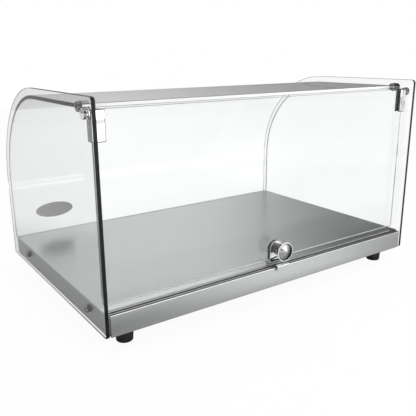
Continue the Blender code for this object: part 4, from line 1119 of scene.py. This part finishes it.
# %% Strips of painted shade
deck_low, deck_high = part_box("deck_plate")
pan_low, pan_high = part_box("base_pan")
hem_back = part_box("front_fascia")[0].y + 2 * SHEET
DECK_SHADE_STRIP, DECK_SHADE_STRIP_ROUND, DECK_SHADE_STRIP_SHORT = 0.0004, 0.0001, 0.0025
SHADE_STRIP_BELOW_DECK, SHADE_STRIP_FALL = 0.0002, 0.0001
GAP_SHADE_STRIP_DEPTH, GAP_SHADE_STRIP_ROUND, GAP_SHADE_STRIP_SHORT = 0.0040, 0.0003, 0.0015
GAP_SHADE_STRIP_NEAR, GAP_SHADE_STRIP_CREST, GAP_SHADE_STRIP_FAR = 0.0004, 0.0002, 0.0006      # below the pan's top


def soft_strip(name, half_length, section, body, black=rubber, pale_below=0):
    """A soft strip of one (y, z, radius) section, centred on the case's middle. Its ends and
    its faces below a height can be moulded in a milky grey."""
    bm = drawn_strip(section, -half_length, half_length)
    for face in bm.faces:
        is_low, is_end = face.calc_center_median().z < pale_below, abs(face.normal.x) > FACING
        face.material_index = int(pale_below > 0 and (is_low or is_end))
    close_piece(bm, name, [black, gasket], body)


# Painted shade: both strips are black where the gaps along the base lie in shadow.
crest = deck_high.z - SHADE_STRIP_BELOW_DECK
soft_strip("deck_edge_painted_shade", deck_high.x - DECK_SHADE_STRIP_SHORT, [
    (deck_low.y - DECK_SHADE_STRIP, pan_high.z, DECK_SHADE_STRIP_ROUND), (deck_low.y, pan_high.z, 0),
    (deck_low.y, crest, 0), (deck_low.y - DECK_SHADE_STRIP, crest - SHADE_STRIP_FALL, 2 * DECK_SHADE_STRIP_ROUND)],
    "cabinet")
soft_strip("fascia_gap_painted_shade", deck_high.x - GAP_SHADE_STRIP_SHORT, [
    (hem_back, pan_high.z - GAP_SHADE_STRIP_DEPTH, 0), (pan_low.y, pan_high.z - GAP_SHADE_STRIP_DEPTH, 0),
    (pan_low.y, pan_high.z - GAP_SHADE_STRIP_FAR, 0),
    (pan_low.y - GAP_SHADE_STRIP_ROUND, pan_high.z - GAP_SHADE_STRIP_CREST, GAP_SHADE_STRIP_ROUND),
    (hem_back, pan_high.z - GAP_SHADE_STRIP_NEAR, GAP_SHADE_STRIP_ROUND)], "cabinet")

# %% [markdown]
# ## The door's buffer
# A soft sleeve sits on the lower end of the knob's clip and keeps its steel off the
# deck when the door comes down. Its black lip in front is painted shade, the dark line
# along the clip's lower edge, and its foot and ends are milky.
# It could be a copy of the clip's end, blown up a little, but a real one is a cut
# length of strip: a trough that the clip stands in, drawn out over the clip's width.

# %% Buffer
clip_low, clip_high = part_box("knob_clip")
BUFFER_WALL, BUFFER_HEIGHT, BUFFER_FOOT = 0.0005, 0.0024, 0.0018
LIP_HEIGHT, LIP_PROUD, BUFFER_SHORT = 0.0021, 0.0002, 0.0002
FOOT_EASE, LIP_EASE = 0.0006, 0.0002
front, rear = clip_low.y - BUFFER_WALL, clip_high.y + BUFFER_WALL
under, seat, lip = clip_low.z - BUFFER_FOOT, clip_low.z, clip_low.z + BUFFER_HEIGHT
lip_foot = lip - LIP_HEIGHT
# The black lip is painted shade, along the clip's lower edge.
soft_strip("clip_buffer", clip_high.x - BUFFER_SHORT, [
    (front, under, FOOT_EASE), (rear, under, FOOT_EASE), (rear, lip, LIP_EASE),
    (rear - BUFFER_WALL, lip, 0), (rear - BUFFER_WALL, seat, 0), (front + BUFFER_WALL, seat, 0),
    (front + BUFFER_WALL, lip, 0), (front - LIP_PROUD, lip, LIP_EASE),
    (front - LIP_PROUD, lip_foot, LIP_EASE), (front, lip_foot - LIP_PROUD, 0)],
    "door", painted_shade_edge, lip_foot)

# %% [markdown]
# ## Badge
# A blank oval plate sits low on the outside of the far wall, near its left end. It
# could be a flat disc of colour, but its edge would then look cut from paper. So a
# circle is stretched to an oval and extruded, and its face is inset and sunk a little,
# which leaves a fine rim.

# %% Badge
badge_plate = moulded("blank badge plate", dark=(0.110, 0.117, 0.112),
                      light=(0.130, 0.137, 0.131), rough=(0.35, 0.45), size=0.002,
                      depth=4 * MICROMETRE)
BADGE_PLACE = (-0.2055, 0.0913)        # its x and z
BADGE_SIZE = (0.0650, 0.0256)
BADGE_THICKNESS = 0.0005
BADGE_RIM, BADGE_SINK = 0.0012, 0.0001
BADGE_STEPS = 96
GLUE = 0.00005              # the film between plate and glass

bm = bmesh.new()
bmesh.ops.create_circle(bm, cap_ends=True, segments=BADGE_STEPS, radius=0.5)
bmesh.ops.scale(bm, vec=(*BADGE_SIZE, 1), verts=bm.verts)
for face in extruded(bm, list(bm.faces), (0, 0, BADGE_THICKNESS)):
    bmesh.ops.inset_region(bm, faces=[face], thickness=BADGE_RIM, depth=0)
    bmesh.ops.inset_region(bm, faces=[face], thickness=BADGE_SINK, depth=-BADGE_SINK)
place = Matrix.Translation((BADGE_PLACE[0], bent_high.y + GLUE, BADGE_PLACE[1]))
bmesh.ops.transform(bm, matrix=place @ TO_XZ, verts=bm.verts)
close_piece(bm, "badge", [badge_plate], "cabinet")

# %% [markdown]
# ## Materials for the nodes that stay
# Flat sheet, screws, washers and small rings are right as packed. They could be
# copied like the blocks above, but nothing on them would look better for it, so they
# only get the finish that goes with their material slot. The deck has a finish of its
# own, and the caps' gaskets are milky.

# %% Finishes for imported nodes
FINISHES = {
    "brushed_stainless": steel, "zinc_sheet": pan_steel, "polished_chrome": chrome,
    "clear_glass": clear_glass, "black_rubber": rubber, "steel_fastener": fastener,
    "grey_nylon": nylon, "clear_silicone": silicone,
}
for node in nodes.values():
    finish = FINISHES[node.data.materials[0].name.split(".")[0]]
    node.data.materials.clear()
    node.data.materials.append(finish)
nodes["deck_plate"].data.materials[0] = deck_steel
for label in ("left", "right"):
    nodes["cap_gasket_" + label].data.materials[0] = gasket
print("finished nodes:", len(nodes))
